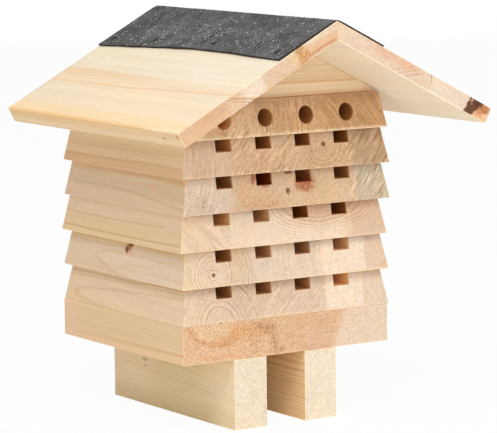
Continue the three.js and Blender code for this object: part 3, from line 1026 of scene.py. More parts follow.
# %% Tray 4, with the knot in its side
def tray_4_wood():
    knots = [((-65.4, 19.8, 97.1), (14, 9, 6), 3.0)]
    lean = (0.008, 0.027)
    face = paint(229, 202, 171)
    end = paint(247, 220, 193)
    plank = Plank("tray_4_wood", face, end, (-48.2, 87.5), ring=1.6, lean=lean, knots=knots)
    plank.left_side(-60, 0.75)
    plank.left_arch((53.5, 90), -0.1, 1.21, paint(237, 210, 181), tan_line)
    plank.left_arch((-4, 88.5), 0.045, 1.04, paint(233, 205, 174), tan_line, 0.8, 0.4)
    loop = [(24, 87), (17, 87.9), (8, 88.3), (-6, 88.6)]
    plank.left_line(loop, 1.5, paint(224, 190, 142), 0.5)
    plank.left_line([(25, 86.6), (17, 84.8), (10, 85.6)], 0.9, paint(224, 190, 142), 0.5)
    plank.left_line([(25, 87), (17, 89.9), (10, 89.4)], 0.9, paint(224, 190, 142), 0.4)
    plank.left_line([(88, 96.6), (40, 96.4), (26, 97.4)], 0.7, tan_line, 0.8)
    # The top band of the left side is partly the wood's tone and partly painted shade under the overhang of
    # tray 3.
    plank.left_zone(97.4, 102, paint(228, 196, 146), 0.8, 0.8)
    plank.stain((-65, 20.5, 97), (7, 6.0, 4.0), paint(196, 144, 98), 0.5, 0.6)
    plank.stain((-65, 21.2, 97.2), (7, 3.4, 2.4), paint(152, 94, 44), 0.85, 0.6)
    plank.stain((-65, 22.9, 95.8), (7, 1.9, 2.5), knot_brown, 0.95, 0.6)
    plank.stain((-65, 18.8, 98.8), (7, 3.0, 1.5), knot_brown, 0.95, 0.6)
    plank.front_zone(-75, -62, paint(238, 214, 172), 0.7, 3.0)
    plank.front_zone(-38, -24, paint(236, 207, 174), 0.7, 5.0)
    plank.front_zone(-26, 22, paint(234, 210, 185), 0.8, 4.0)
    plank.front_zone(25, 53, paint(251, 227, 201), 0.95, 1.5)
    plank.front_zone(53, 75, paint(236, 205, 177), 0.95, 1.0)
    plank.front_stain((66, 83), (5, 4), paint(238, 190, 150), 0.45)
    plank.front_stain((-48.2, 87.3), (1.5, 1.5), paint(160, 98, 56), 0.95, 0.4, deep=60)
    plank.strokes(88, 1.6, 0.13, -24, 24)
    plank.flecks(plank.window(-40, -22, 80, 100), paint(206, 176, 138), 0.35)
    plank.speckle(1.3, 0.07)
    plank.nest(80.65, (0.22, 0.5, 0.5, 1.2), 0.6)
    return plank.finish((0.5, 0.95), 22, 0.06)


keep_wood("tray_4", tray_4_wood())

# %% [markdown]
# Tray 5 has one great arch along its whole left side, and a pith near its left edge whose rings only
# reach to the second groove. Its right third is two strips of paler wood. A soft band would make them
# look like a stain, so these two have hard edges.

# %% Tray 5, the lowest
def tray_5_wood():
    lean = (0.006, 0.04)
    face = paint(234, 204, 167)
    end = paint(237, 208, 180)
    plank = Plank("tray_5_wood", face, end, (-44.8, 60.2), ring=1.9, lean=lean)
    plank.left_side(-60, 0.75)
    plank.left_arch((78, 66), 0.0, 0.845, paint(239, 207, 174), tan_line)
    plank.stain((-67, 75, 66.4), (6, 4, 1.5), paint(238, 184, 132), 0.7)
    # This dark line near the top of the left side is partly a growth line and partly painted shade under
    # the overhang of tray 4.
    dark = [(86, 77.8), (60, 78.2), (20, 78), (-10, 79.4), (-38, 79)]
    plank.left_line(dark, 0.8, paint(210, 172, 120), 0.8)
    plank.left_line([(86, 75.6), (30, 76.8), (-38, 77.6)], 0.8, tan_line, 0.4)
    plank.front_zone(-36, 26, paint(226, 197, 169), 0.7, 6.0)
    plank.front_zone(26.5, 52, paint(249, 226, 200), 0.95, 1.5)
    plank.front_zone(52, 75, paint(235, 210, 185), 0.95, 1.0)
    plank.front_stain((-44.5, 60.4), (1.4, 1.2), paint(150, 100, 66), 0.9, 0.4, deep=60)
    plank.rings_within(-80, -18)
    plank.strokes(47, 1.1, 0.22, -30, 27)
    plank.strokes(80, 1.4, 0.10, 28, 75)
    plank.speckle(1.3, 0.08)
    plank.nest(60.6, (0.24, 0.36, 0.38, 1.1), 0.4)
    return plank.finish((0.5, 0.9), 30, 0.06)


keep_wood("tray_5", tray_5_wood())

# %% [markdown]
# The block is darker than the trays, and no pith shows in it: its rings are wide, faint arcs of a log
# whose heart lies high to the right. Most of what shows is torn grain, in strokes that lean one way on
# the left, stand upright in the middle and lean the other way on the right. Three sets of strokes,
# each kept to its own part of the front, do more here than rings would.

# %% The drilled block
def block_wood():
    plank = Plank("drilled_top_block_wood", paint(222, 186, 142), paint(214, 172, 129), (75, 222), ring=1.7)
    plank.zone(plank.z, 158, 163.4, paint(226, 188, 148), 0.6, 1.2, plank.end)
    plank.front_zone(-8, 16, paint(215, 169, 126), 0.5, 6.0)
    plank.front_zone(22, 75, paint(202, 157, 111), 0.8, 6.0)
    plank.front_zone(-75, -45, paint(230, 192, 154), 0.9, 4.0)
    plank.front_stain((-28, 164), (16, 10), paint(236, 198, 160), 0.85, 0.8, deep=20)
    torn = plank.around(-14, 163, 14, 7) + plank.around(13, 164, 11, 8)
    torn = torn + plank.window(-44, 30, 158, 163) * 0.6
    plank.flecks(torn, paint(244, 212, 166), 1.0, 60)
    plank.flecks(plank.around(44, 163, 14, 4), paint(232, 192, 140), 0.6, 130)
    plank.flecks(plank.window(-44, -18, 158, 172), paint(190, 146, 108), 0.45, 60)
    plank.front_stain((-22, 173), (7, 9), paint(226, 190, 154), 0.7, 0.6, deep=20)
    plank.strokes(52, 1.3, 0.38, -75, -24)
    plank.strokes(88, 1.4, 0.36, -26, 20)
    plank.strokes(128, 1.2, 0.36, 20, 75)
    plank.speckle(1.1, 0.16, -60, 34)
    plank.nest(160.85, (0.86, 0.39, 0.2, 0.16), 0.8)
    return plank.finish((0.5, 0.3), 300)


keep_wood("drilled_top_block", block_wood())

# %% [markdown]
# Now the six boards can be made. Their outer sizes and places could be typed in again, but then they
# would drift away from the solid model when that changes. So these are measured on it, and only the
# leans and cuts that all boards share are given here as sizes.

# %% Make the trays and the drilled block
nests = 4
sizes = {
    "Side Lean": 3.8 * MM,
    "Front Lean": 3.4 * MM,
    "Back Lean": 3.3 * MM,
    "Groove Width": 10.5 * MM,
    "Groove Depth": 7 * MM,
    "Groove Length": 112 * MM,
    "Groove Pitch": 26 * MM,
    "Groove Shift": -1.4 * MM,
    "Hole Radius": 5 * MM,
    "Hole Height": 10 * MM,
    "Hole Length": 100 * MM,
    "Hole Pitch": 27 * MM,
    "Hole Shift": 1 * MM,
    "Overrun": overrun,
}


def make_layer(node, wood):
    low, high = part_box(node)
    is_block = node == "drilled_top_block"
    values = dict(sizes)
    values["Width"] = high.x - low.x
    values["Depth"] = high.y - low.y
    values["Thickness"] = high.z - low.z
    values["Place"] = ((low.x + high.x) / 2, (low.y + high.y) / 2, low.z)
    values["Grooves"] = 0 if is_block else nests
    values["Holes"] = nests if is_block else 0
    values["Wood"] = wood
    mesh = grown(node, stack_tree, bore_points(node, bores_in(node)), values)
    return eased(node + "_board", mesh, wood)


boards = {}
for node, wood in woods.items():
    boards[node] = make_layer(node, wood)
    print(node, "has", len(boards[node].data.polygons), "faces")

# %% [markdown]
# The other boards are plain lengths of wood. A tree of their own would have nothing to repeat. Their
# solids already have the right outline and bores, so a merged copy of each solid is taken, and only
# its arrises are eased. The base lies low and was sawn roughly: an arc of torn wood sweeps over the
# left of its front, with brown pits beside it, and the right end is pale sapwood.

# %% The base board
def base_wood():
    plank = Plank("base_board_wood", paint(231, 199, 157), paint(229, 187, 147), (-45.5, 71), ring=1.9)
    plank.left_side(-62, 0.6)
    net = plank.net
    band = [(92, 42.6), (40, 43.6), (0, 44), (-42, 45)]
    plank.left_line(band, 1.3, paint(228, 180, 128), 0.75)
    plank.left_zone(38, 42, paint(242, 200, 160), 0.6, 1.0)
    plank.zone(plank.y, 74, 95, paint(238, 200, 164), 0.7, 6.0, plank.left)
    rough = net.noise(plank.place, 1.5, 3.0, 0.7) - 0.5
    arc = net.length(net.vector(plank.x + 45.5, 0.0, plank.z - 71)) + plank.wave * 1.5 + rough * 2
    front = plank.end * net.fade(plank.x, -26, -44)
    plank.zone(plank.x, -75, -36, paint(236, 196, 158), 0.5, 6.0, plank.end * net.fade(plank.z, 47, 43))
    plank.tint(net.fade(arc, 22.4, 19.5) * front * 0.8, paint(236, 198, 158))
    plank.front_stain((-24, 54.5), (18, 6), paint(228, 170, 118), 0.65, 0.9)
    plank.front_stain((-48, 42.5), (16, 2), paint(232, 172, 124), 0.6, 0.8)
    swept = net.fade(abs(arc - 20.6), 4.5, 1.0) * plank.between(plank.x, -49, -31, 4.0) * plank.end
    plank.tint(swept * 0.6, paint(230, 172, 120))
    plank.tint(net.fade(abs(arc - 22.9), 1.1, 0.1) * front * 0.75, paint(204, 144, 92))
    plank.tint(net.fade(abs(arc - 21.0), 0.9, 0.0) * front * 0.4, paint(214, 156, 108))
    plank.flecks(swept + plank.around(-24, 55, 12, 5), paint(208, 136, 80), 0.75)
    pits = net.fade(net.noise(plank.place, 1.4, 2.0, 0.7), 0.5, 0.62) * 0.75 + 0.25
    for x, z, wide, high in ((-13, 55, 5, 5), (-9.5, 48, 3.5, 6), (-7, 42.5, 5, 3), (-19, 57, 5, 3)):
        plank.tint(plank.around(x, z, wide, high) * pits, paint(168, 110, 68))
    plank.front_zone(13, 29, paint(226, 184, 154), 0.6, 3.0)
    edge = plank.x - plank.z * 0.35 + 17
    plank.zone(edge, 33, 90, paint(242, 217, 190), 0.95, 5.0, plank.end)
    plank.flecks(plank.window(-66, 30, 40, 58), paint(244, 208, 166), 0.45, 20)
    plank.flecks(plank.window(34, 70, 40, 60), paint(200, 168, 134), 0.35, 80, 0.8)
    plank.speckle(1.1, 0.24, -75, -4)
    plank.speckle(1.0, 0.16, 30, 75)
    plank.strokes(12, 0.9, 0.22, -30, 32)
    return plank.finish((0.4, 0.25), 300)


keep_wood("base_board", base_wood())

# %% [markdown]
# The legs are planed and pale. Only the left one shows a face in the light, with faint broad bands and
# one small rough spot, so little is drawn on it. The right leg shows its end, and one side that lies in
# the shade between the legs. There it is lit by wood alone and looks orange, so its face colour is
# painted orange too: painted light bounced from the wood.

# %% The legs
def left_leg_wood():
    lean = (0.0, 0.05)
    face = paint(244, 222, 184)
    end = paint(242, 226, 199)
    plank = Plank("left_leg_wood", face, end, (-35, -300), ring=2.5, lean=lean)
    plank.left_side(-34, 0.0)
    plank.zone(plank.y, -12, 45, paint(230, 211, 164), 0.7, 15.0, plank.left)
    plank.left_zone(-5, 9, paint(224, 202, 158), 0.6, 6.0)
    plank.stain((-35.7, 54.4, 26.2), (3, 4.6, 1.3), paint(178, 156, 122), 0.75, 0.9)
    plank.stain((-35.7, 53.6, 22.8), (3, 3.2, 0.8), paint(186, 164, 130), 0.7, 0.9)
    # The pale spot beside the two dark ones is a painted highlight on the rough spot.
    plank.stain((-35.7, 57.6, 24.6), (3, 1.4, 1.2), paint(244, 232, 206), 0.8, 0.4)
    plank.speckle(1.2, 0.12)
    return plank.finish((0.28, 0.05), 300)


def right_leg_wood():
    # Its face colour is painted light: the orange of light bounced from the wood between the legs.
    plank = Plank("right_leg_wood", paint(254, 216, 164), paint(245, 229, 204), (60, 45), ring=0.85)
    plank.speckle(1.2, 0.08)
    plank.strokes(40, 1.5, 0.10, 15, 40)
    return plank.finish((0.8, 0.05), 300)


keep_wood("left_leg", left_leg_wood())
keep_wood("right_leg", right_leg_wood())

# %% [markdown]
# The roof boards lie at a slope, so marks on them are awkward to place along x and z. A roof plank
# measures from the ridge instead: how far down the slope a point is, and how far above its top side.
# Both measures come from the slope's angle alone. Turning the board flat and back would do the same,
# but a finished piece has to stay unturned.

# %% Measures of the roof
left_slope = math.radians(27.9)
right_slope = math.radians(27.1)
spot_depth = 12
roof_low, roof_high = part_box("left_roof_board")


class RoofPlank(Plank):
    """A roof board, with its slope's own measures: down from the ridge, and up from its top side."""

    def __init__(self, side, slope, *plank, **more):
        super().__init__(*plank, **more)
        self.side = side
        self.slope = slope
        out = (self.x - ridge_x / MM) * side
        rise = self.z - roof_high.z / MM
        self.down = out * math.cos(slope) - rise * math.sin(slope)
        self.lift = out * math.sin(slope) + rise * math.cos(slope)

    def spot(self, down, lift, wide, high, colour, amount, ragged):
        """A stain on the front end of the board, placed on its own slope."""
        x = ridge_x / MM + self.side * (down * math.cos(self.slope) + lift * math.sin(self.slope))
        z = roof_high.z / MM - down * math.sin(self.slope) + lift * math.cos(self.slope)
        net = self.net
        inward = (self.y - roof_low.y / MM) * (1 / spot_depth)
        apart = net.vector((self.down - down) * (1 / wide), inward, (self.lift - lift) * (1 / high))
        rough = net.noise(self.place - (x, 0.0, z), min(wide, high) * 0.8, 2.0) - 0.5
        reach = net.length(apart) + rough * ragged * 2
        self.tint(net.fade(reach, 1.0, 0.45) * amount, colour)


print("the ridge lies", round(roof_high.z / MM, 1), "mm above the ground")

# %% [markdown]
# The left slope is what the light falls on most, and it is calm: a few growth lines that draw together
# towards the front, a warm band two thirds of the way down, and a painted highlight along the rounded
# upper edge at the eave's front corner. Counted rings would make it busy, so they are faint here. The
# detail is on its front end, where a long brown streak follows the board and ends in a small knot.

# %% The left roof board
def left_roof_wood():
    face = paint(244, 228, 201)
    end = paint(229, 197, 165)
    plank = RoofPlank(-1, left_slope, "left_roof_wood", face, end, (-60, 120), ring=2.4)
    net = plank.net
    top = plank.flat * net.fade(plank.lift, -3.0, -0.8)
    eave = plank.flat * net.fade(plank.down, 111.5, 112.6)
    back, down = plank.y, plank.down
    rearward = net.fade(plank.y, -60, 60) * 0.75 + 0.25
    plank.zone(down, 69, 83, paint(234, 193, 146), 0.85, 3.5, top * rearward)
    plank.zone(down, 72, 120, paint(245, 222, 188), 0.8, 4.0, top)
    plank.zone(down, 105, 120, paint(252, 220, 172), 0.85, 4.0, top)
    ridge_line = [(90, 81.4), (10, 81), (0, 80.4), (-40, 78.4), (-92, 76.4)]
    plank.line(back, down, ridge_line, 1.4, paint(238, 200, 152), 0.85, top)
    plank.line(back, down, [(50, 63), (0, 63.4), (-90, 65)], 1.2, paint(240, 222, 186), 0.6, top)
    plank.line(back, down, [(60, 107), (0, 105.6), (-60, 104)], 1.0, paint(244, 208, 158), 0.5, top)
    plank.stain((-77, 84, 172), (5, 6, 3), paint(246, 202, 150), 0.6)
    plank.zone(plank.lift, -5.2, 1.5, paint(240, 195, 132), 0.7, 0.7, eave)
    plank.zone(plank.lift, -6.8, -5.2, paint(246, 204, 152), 0.7, 0.7, eave)
    plank.zone(plank.lift, -10, -7.0, paint(242, 206, 158), 0.85, 0.5, eave)
    # A painted highlight along the rounded upper edge of the eave, widening towards the front corner.
    eave_highlight = net.fade(down - (plank.y + 90) * 0.06, 109.4, 112) * net.fade(plank.y, -48, -70)
    plank.tint(eave_highlight * plank.flat * net.fade(plank.lift, -2.0, -0.6) * 0.6, paint(255, 234, 204))
    plank.stain((-98.8, -73.5, 168.1), (4, 3, 1.1), paint(206, 156, 102), 0.7)
    plank.stain((-99.6, -87.5, 169.9), (3, 2.4, 1.3), paint(206, 156, 104), 0.7)
    glow = [(3, -6.4), (10, -5.0), (18, -4.0), (27, -4.4), (34, -5.6)]
    plank.line(down, plank.lift, glow, 4.2, paint(234, 190, 148), 0.85, plank.end, 3.0)
    core = [(5, -8.2), (12, -7.2), (20, -6.9), (27, -7.6), (32, -8.4)]
    plank.line(down, plank.lift, core, 1.7, paint(212, 150, 102), 0.9, plank.end, 2.0)
    upper = [(0, -2.4), (10, -1.6), (22, -0.8)]
    plank.line(down, plank.lift, upper, 2.0, paint(236, 218, 184), 0.7, plank.end, 2.0)
    plank.spot(28, -5.2, 5.4, 4.2, paint(214, 158, 104), 0.85, 0.8)
    plank.spot(28.8, -1.4, 4.2, 2.4, paint(192, 150, 92), 0.85, 0.9)
    plank.spot(27.2, -4.7, 2.0, 1.6, paint(196, 128, 72), 0.9, 0.5)
    plank.spot(27.3, -4.6, 0.9, 0.8, paint(244, 208, 140), 0.95, 0.2)
    plank.spot(34, -4, 4, 4, paint(240, 204, 154), 0.6, 0.6)
    plank.zone(down, 56, 70, paint(244, 226, 206), 0.8, 3.0, plank.end)
    slant = down - plank.lift * 1.5 + plank.wave * 2
    lines = net.fade(abs(net.maths("FRACT", slant * 0.36) - 0.5), 0.22, 0.0)
    plank.tint(lines * plank.between(slant, 60, 78, 3.0) * plank.end * 0.5, paint(224, 186, 156))
    for start, width, colour in ((78.6, 1.0, (204, 150, 98)), (81.6, 0.7, (214, 166, 112))):
        apart = abs(slant - start + (net.noise(plank.place, 2.0, 2.0) - 0.5) * 3)
        plank.tint(net.fade(apart, width * 1.6, width * 0.3) * plank.end * 0.8, paint(*colour))
    plank.zone(down, 81, 116, paint(224, 182, 144), 0.75, 3.0, plank.end)
    plank.zone(down, 84, 104, paint(222, 172, 130), 0.5, 4.0, plank.end * net.fade(plank.lift, -7.0, -4.0))
    plank.speckle(1.0, 0.07)
    return plank.finish((0.12, 0.2), 300)


keep_wood("left_roof_board", left_roof_wood())

# %% [markdown]
# Of the right roof board only the front end and the underside show. Its end has slanted lines, a crack
# and, near the eave, a knot so dark that it looks burnt. The knot is a band between two ragged slanted
# lines, because a round stain would look like a hole.

# %% The right roof board
def right_roof_wood():
    face = paint(254, 239, 211)
    end = paint(236, 208, 180)
    plank = RoofPlank(1, right_slope, "right_roof_wood", face, end, (40, 90), ring=2.4)
    net = plank.net
    down = plank.down
    seen = plank.end * net.fade(plank.y, -30, -60)
    plank.zone(down, 26, 60, paint(236, 190, 158), 0.85, 6.0, seen * net.fade(plank.lift, -6.5, -3.0))
    for start in (44, 48.5, 53):
        rise = [(start, -8.4), (start + 6, -5), (start + 12, -1.6)]
        plank.line(down, plank.lift, rise, 1.0, paint(218, 172, 140), 0.7, seen, 1.5)
    crack = [(69, -0.6), (70.4, -2), (71.8, -4.6)]
    plank.line(down, plank.lift, crack, 0.6, paint(110, 88, 66), 0.95, seen, 0.6)
    plank.zone(down, 72, 98, paint(242, 220, 196), 0.85, 3.0, seen)
    slant = down + plank.lift * 0.5
    lines = net.fade(abs(net.maths("FRACT", slant * 0.45) - 0.5), 0.25, 0.0)
    plank.tint(lines * plank.between(slant, 84, 95, 2.0) * seen * 0.5, paint(224, 194, 164))
    plank.tint(net.fade(down + plank.wave * 2, 102.5, 105.5) * seen, paint(240, 188, 142))
    plank.spot(110.8, -2.6, 5.4, 3.2, paint(198, 126, 80), 0.95, 0.5)
    plank.spot(108.6, -5.6, 2.8, 1.8, paint(214, 146, 100), 0.85, 0.5)
    plank.spot(114, -6.4, 3.4, 2.4, paint(252, 204, 158), 0.8, 0.4)
    ragged = (net.noise(plank.place, 2.2, 2.0) - 0.5) * 4
    inner = net.fade(down + ragged - plank.lift * 0.15, 98.8, 100.4)
    outer = net.fade(down + ragged - plank.lift * 0.62, 110.8, 109.0)
    plank.tint(inner * outer * seen * 0.98, paint(104, 64, 38))
    plank.spot(106, -1.8, 3.2, 2.4, paint(88, 54, 40), 0.8, 0.6)
    plank.spot(101.6, -1.0, 1.3, 3.0, paint(206, 162, 126), 0.75, 0.9)
    plank.speckle(1.0, 0.07)
    return plank.finish((0.14, 0.15), 300)


keep_wood("right_roof_board", right_roof_wood())

# %% [markdown]
# The gable boards carry the roof. They are the only boards whose grain runs across, so their front is
# a face and not an end. Two soft lines, a pale band and a pale patch are all that shows under the
# roof, so no more is drawn. The rear one is hidden, and could be left plain, but it shares this wood.

# %% The gable boards
def gable_wood():
    end = paint(225, 190, 150)
    plank = Plank("gable_wood", paint(242, 212, 172), end, (-100, 130), grain="x", ring=2.6)
    seen = plank.flat
    plank.line(plank.x, plank.z, [(-12, 188), (20, 188.2), (52, 188)], 1.3, paint(226, 184, 134), 0.8, seen)
    lower = [(-20, 182.4), (20, 182.2), (60, 182)]
    plank.line(plank.x, plank.z, lower, 0.9, paint(228, 188, 140), 0.6, seen)
    plank.zone(plank.z, 178, 187, paint(250, 227, 195), 0.8, 0.6, seen)
    plank.stain((34, -36, 200), (16, 10, 7), paint(246, 220, 186), 0.6, 0.4)
    return plank.finish((0.25, 0.5), 300)


keep_wood("front_gable_board", gable_wood())
woods["rear_gable_board"] = woods["front_gable_board"]

# %% Ease the other boards
for node, wood in woods.items():
    if node not in boards:
        boards[node] = eased(node + "_piece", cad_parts[node].data, wood)
print("boards made:", len(boards))

# %% [markdown]
# Roofing felt is a bitumen sheet with mineral grit rolled into its upper side. Here a strip of it is
# bent over the ridge to keep rain out of the seam. It doesn't lie dead flat: its free edges lift
# between the nails, and its left edge was cut by hand, so it wanders. A simulated cloth could be laid
# on the roof, but felt is too stiff to drape, so its lift is worked out from the way to the nearest
# nail. The sheet is a grid over both slopes, closed by a thin wall all round. The wall is marked,
# because cut bitumen is brown.

# %% How the felt lies
felt_gap = 0.05 * MM
felt_thickness = 1.0 * MM
felt_setback = 1.0 * MM
left_flap = 41 * MM
right_flap = 34 * MM
flap_shares = [(0, 1.02), (0.12, 1.01), (0.3, 0.98), (0.46, 0.971)]
flap_shares += [(0.6, 1), (0.72, 1.032), (0.85, 1.074), (1, 1.107)]
nail_rows = (0.063, 0.417, 0.733, 0.965)
felt_step = 1.5 * MM
felt_columns = 50
outer_fold = 1.1 * MM
inner_fold = 0.2 * MM
left_curl = 0.45 * MM
right_curl = 0.1 * MM
curl_start_share = 0.78
buckle = 0.12 * MM
buckle_length = 14 * MM
edge_wander = 0.12 * MM
wander_waves = 22
strip_length = 180 * MM
nail_hold_share = 0.12
grit_beds = [(42, 31, 12, 8), (-5, 22, 21, 9), (-47, 28, 10, 8)]
grit_beds += [(-76, 31, 7, 5), (-75, 8, 6, 5), (78, 35, 14, 4)]


def flap_at(share):
    """The width of the left flap as a share, eased from each given place to the next."""
    for (start, low), (stop, high) in zip(flap_shares, flap_shares[1:]):
        if share <= stop:
            t = (share - start) / (stop - start)
            return low + (high - low) * (t * t * (3 - 2 * t))
    return flap_shares[-1][1]


def on_roof(down, y, lift, fold):
    """A place a given way down a slope from the ridge: to the left where down is negative."""
    slope = left_slope if down < 0 else right_slope
    round_down = math.hypot(down, fold)
    x = ridge_x + down * math.cos(slope) + lift * math.sin(slope) * down / round_down
    z = roof_high.z - round_down * math.sin(slope) + lift * math.cos(slope)
    return Vector((x, y, z))


def felt_lift(down, width, share):
    """How far the sheet stands off the roof: a little at its free edge, least at the nails."""
    to_nail = min(abs(share - row) for row in nail_rows)
    edge = max(0, abs(down) / width - curl_start_share) / (1 - curl_start_share)
    curl = edge * edge * min(to_nail / nail_hold_share, 1) * (left_curl if down < 0 else right_curl)
    wave = noise.noise(Vector((down, share * strip_length, 0)) / buckle_length) * buckle
    return curl + abs(wave)


def grit_share(y, down):
    """How thickly the pale grit lies. Each bed is (y, down, length, width) in mm on the left slope."""
    total = 0.0
    for middle, fall, length, width in grit_beds:
        total += math.exp(-((y / MM - middle) / length) ** 2 - ((down / MM + fall) / width) ** 2)
    return min(total, 1.0)


print("flaps in millimetres:", round(left_flap / MM), "and", round(right_flap / MM))

# %% The felt's sheet
def felt_rows():
    front = roof_low.y + felt_setback
    depth = roof_high.y - front
    along = round(depth / felt_step)
    for row in range(along + 1):
        share = row / along
        left = left_flap * flap_at(share)
        left += noise.noise(Vector((share * wander_waves, 3, 0))) * edge_wander
        line = []
        for column in range(felt_columns + 1):
            t = column / felt_columns
            down = -left + (left + right_flap) * t
            width = left if down < 0 else right_flap
            lift = felt_gap + felt_lift(down, width, share)
            line.append((down, front + depth * share, lift))
        yield line


def felt_rim(rows):
    """Pairs of neighbours round the border of a grid of points."""
    border = rows[0] + [row[-1] for row in rows[1:]] + rows[-1][-2::-1] + [row[0] for row in rows[-2:0:-1]]
    return list(zip(border, border[1:] + border[:1]))


def felt_sheet():
    shape = bmesh.new()
    mark = shape.faces.layers.float.new("edge")
    bed = shape.verts.layers.float.new("grit")
    sides = {"top": [], "under": []}
    for line in felt_rows():
        upper = [on_roof(down, y, lift + felt_thickness, outer_fold) for down, y, lift in line]
        lower = [on_roof(down, y, lift, inner_fold) for down, y, lift in line]
        sides["top"].append([shape.verts.new(place) for place in upper])
        sides["under"].append([shape.verts.new(place) for place in lower])
        for corner, (down, y, _) in zip(sides["top"][-1], line):
            corner[bed] = grit_share(y, down)
    for key, rows in sides.items():
        for near, far in zip(rows, rows[1:]):
            for i in range(len(near) - 1):
                loop = [near[i], near[i + 1], far[i + 1], far[i]]
                shape.faces.new(loop if key == "top" else loop[::-1])
    for rim_top, rim_under in zip(felt_rim(sides["top"]), felt_rim(sides["under"])):
        wall = shape.faces.new([rim_top[0], rim_under[0], rim_under[1], rim_top[1]])
        wall[mark] = 1.0
    bmesh.ops.recalc_face_normals(shape, faces=shape.faces)
    for face in shape.faces:
        face.smooth = face[mark] < 0.5
    mesh = bpy.data.meshes.new("roofing_felt_sheet")
    shape.to_mesh(mesh)
    shape.free()
    return mesh


felt_mesh = felt_sheet()
print("faces in the felt:", len(felt_mesh.polygons))

# %% [markdown]
# Nails go in along the free edges of the felt, four to a side, and by hand: none is quite in line, and
# none stands quite square. Their places are worked out before the felt's finish, because the bitumen
# is darker round each head.

# %% Places of the clout nails
down_shares = (0.85, 0.8, 0.875, 0.9)
slant_along = 0.06
slant_down = 0.05
flaps = ((-1, "left", left_flap, left_slope), (1, "right", right_flap, right_slope))
felt_nail_names = []
nail_places = []
nail_tilts = []
for side, word, flap, slope in flaps:
    for index, (row, share) in enumerate(zip(nail_rows, down_shares)):
        y = roof_low.y + (roof_high.y - roof_low.y) * row
        nail_places.append(on_roof(side * flap * share, y, felt_gap + felt_thickness, 0))
        along = slant_along * math.sin(index * 2.3)
        nail_tilts.append((along, side * slope + slant_down * math.cos(index * 1.7), 0))
        felt_nail_names.append(f"{word}_felt_nail_{index + 1}")
print("clout nails:", ", ".join(felt_nail_names))

# %% [markdown]
# The felt's ground is dark bitumen with sand too fine to model. One grey would look like paper, so
# noises of three sizes make it grainy, mottled and clouded, two more smear it down the slope, and one
# rubbed stripe crosses the left flap.

# %% Bitumen under the grit
def felt_material():
    material, net = blank_material("roofing_felt_grit")
    place = net.place()
    x, y, _ = net.parts(place)
    sheet = net.vector(x, y, 0.0)
    grain = net.noise(place, 0.7, 3.0, 0.7) - 0.5
    cloud = net.noise(sheet, 16, 3.0, 0.6)
    mottle = net.noise(sheet, 2.4, 3.0, 0.65) - 0.5
    smear = net.noise(net.vector(x * 0.35, y, 0.0), 7, 2.0) - 0.5
    scuff = net.noise(net.vector(x * 0.3, y, 0.0), 1.5, 2.0) - 0.5
    rubbed = net.fade(abs(y - 24 + smear * 8), 7, 1) * net.fade(x, -32, -26) * net.fade(x, -8, -16)
    light = grain * 1.1 + mottle * 1.9 + (cloud - 0.5) * 0.5 + smear * 0.7 + scuff * 0.8 + 1
    body = net.mix(net.fade(cloud, 0.35, 0.65), paint(70, 69, 66), paint(96, 96, 96))
    body = body * (light + rubbed * (scuff + 0.5) * 0.6) * (1 - net.fade(y, 35, 85) * 0.16)
    # The bitumen is darker round each nail head.
    for nail in nail_places:
        dent = net.length(place - tuple(nail / MM))
        body = net.mix(net.fade(dent, 3.0, 1.6) * 0.75, body, paint(36, 34, 33))
    cut = net.add("ShaderNodeAttribute", {"attribute_name": "edge"})["Fac"]
    body = net.mix(cut, body, paint(44, 32, 24))
    bump = net.relief(grain + smear * 0.6, 0.9, 0.35)
    net.surface(body, 0.9 - cloud * 0.2, bump, {"Specular IOR Level": 0.35})
    return material


felt = object_of("felt_strip", felt_mesh, felt_material())
print("nodes in the felt's finish:", len(felt.data.materials[0].node_tree.nodes))

# %% [markdown]
# The grit shows as pale chips that stand in clusters. Specks of paint in the felt's material would lie
# flat, and these chips catch the light on one side. They repeat by the thousand, so a geometry tree
# strews one small pebble over the upper side of the sheet. It lies thickest in a few beds, which the
# sheet carries as a value on its points, and is broken up by soft noise. Every chip gets a turn and
# a size of its own from a fixed seed.

# %% Strew the grit
grit_inputs = {
    "Geometry": ["Sheet"],
    "Float": ["Density", "Size", "Cluster", "Beds"],
    "Int": ["Seed"],
    "Material": ["Stone"],
}
thinnest_share = 0.03


def random_vector(net, low, high, seed):
    sockets = {"Min": low, "Max": high, "Seed": seed}
    return net.add("FunctionNodeRandomValue", {"data_type": "FLOAT_VECTOR"}, sockets)["Value"]


strew_tree, strew, given = tree_with("grit_on_felt", grit_inputs, "Grit")
place = strew.add("GeometryNodeInputPosition")["Position"]
upward = strew.parts(strew.add("GeometryNodeInputNormal")["Normal"])[2]
patches = strew.fade(strew.noise(place * (1 / given["Cluster"]), 1.0, 2.0, 0.6), 0.42, 0.62)
bed = carried(strew, "FLOAT", "grit")
share = bed * given["Beds"] + (1 - given["Beds"]) * 0.5 + 0.1
wanted = given["Density"] * strew.maths("GREATER_THAN", upward, 0.5)
density = wanted * (patches * share + thinnest_share)
sockets = {"Mesh": given["Sheet"], "Density": density, "Seed": given["Seed"]}
scatter = strew.add("GeometryNodeDistributePointsOnFaces", {"distribute_method": "RANDOM"}, sockets)
sockets = {"Radius": given["Size"], "Subdivisions": 1}
pebble = strew.add("GeometryNodeMeshIcoSphere", None, sockets)["Mesh"]
turn = random_vector(strew, (0, 0, 0), (6, 6, 6), given["Seed"])
scale = random_vector(strew, (0.5, 0.4, 0.3), (1.3, 1.0, 0.8), given["Seed"] + 1)
grit = copies(strew, scatter["Points"], pebble, {"Rotation": turn, "Scale": scale})
close_tree(strew, "Grit", grit, given["Stone"])
print("nodes in the grit's tree:", len(strew_tree.nodes))

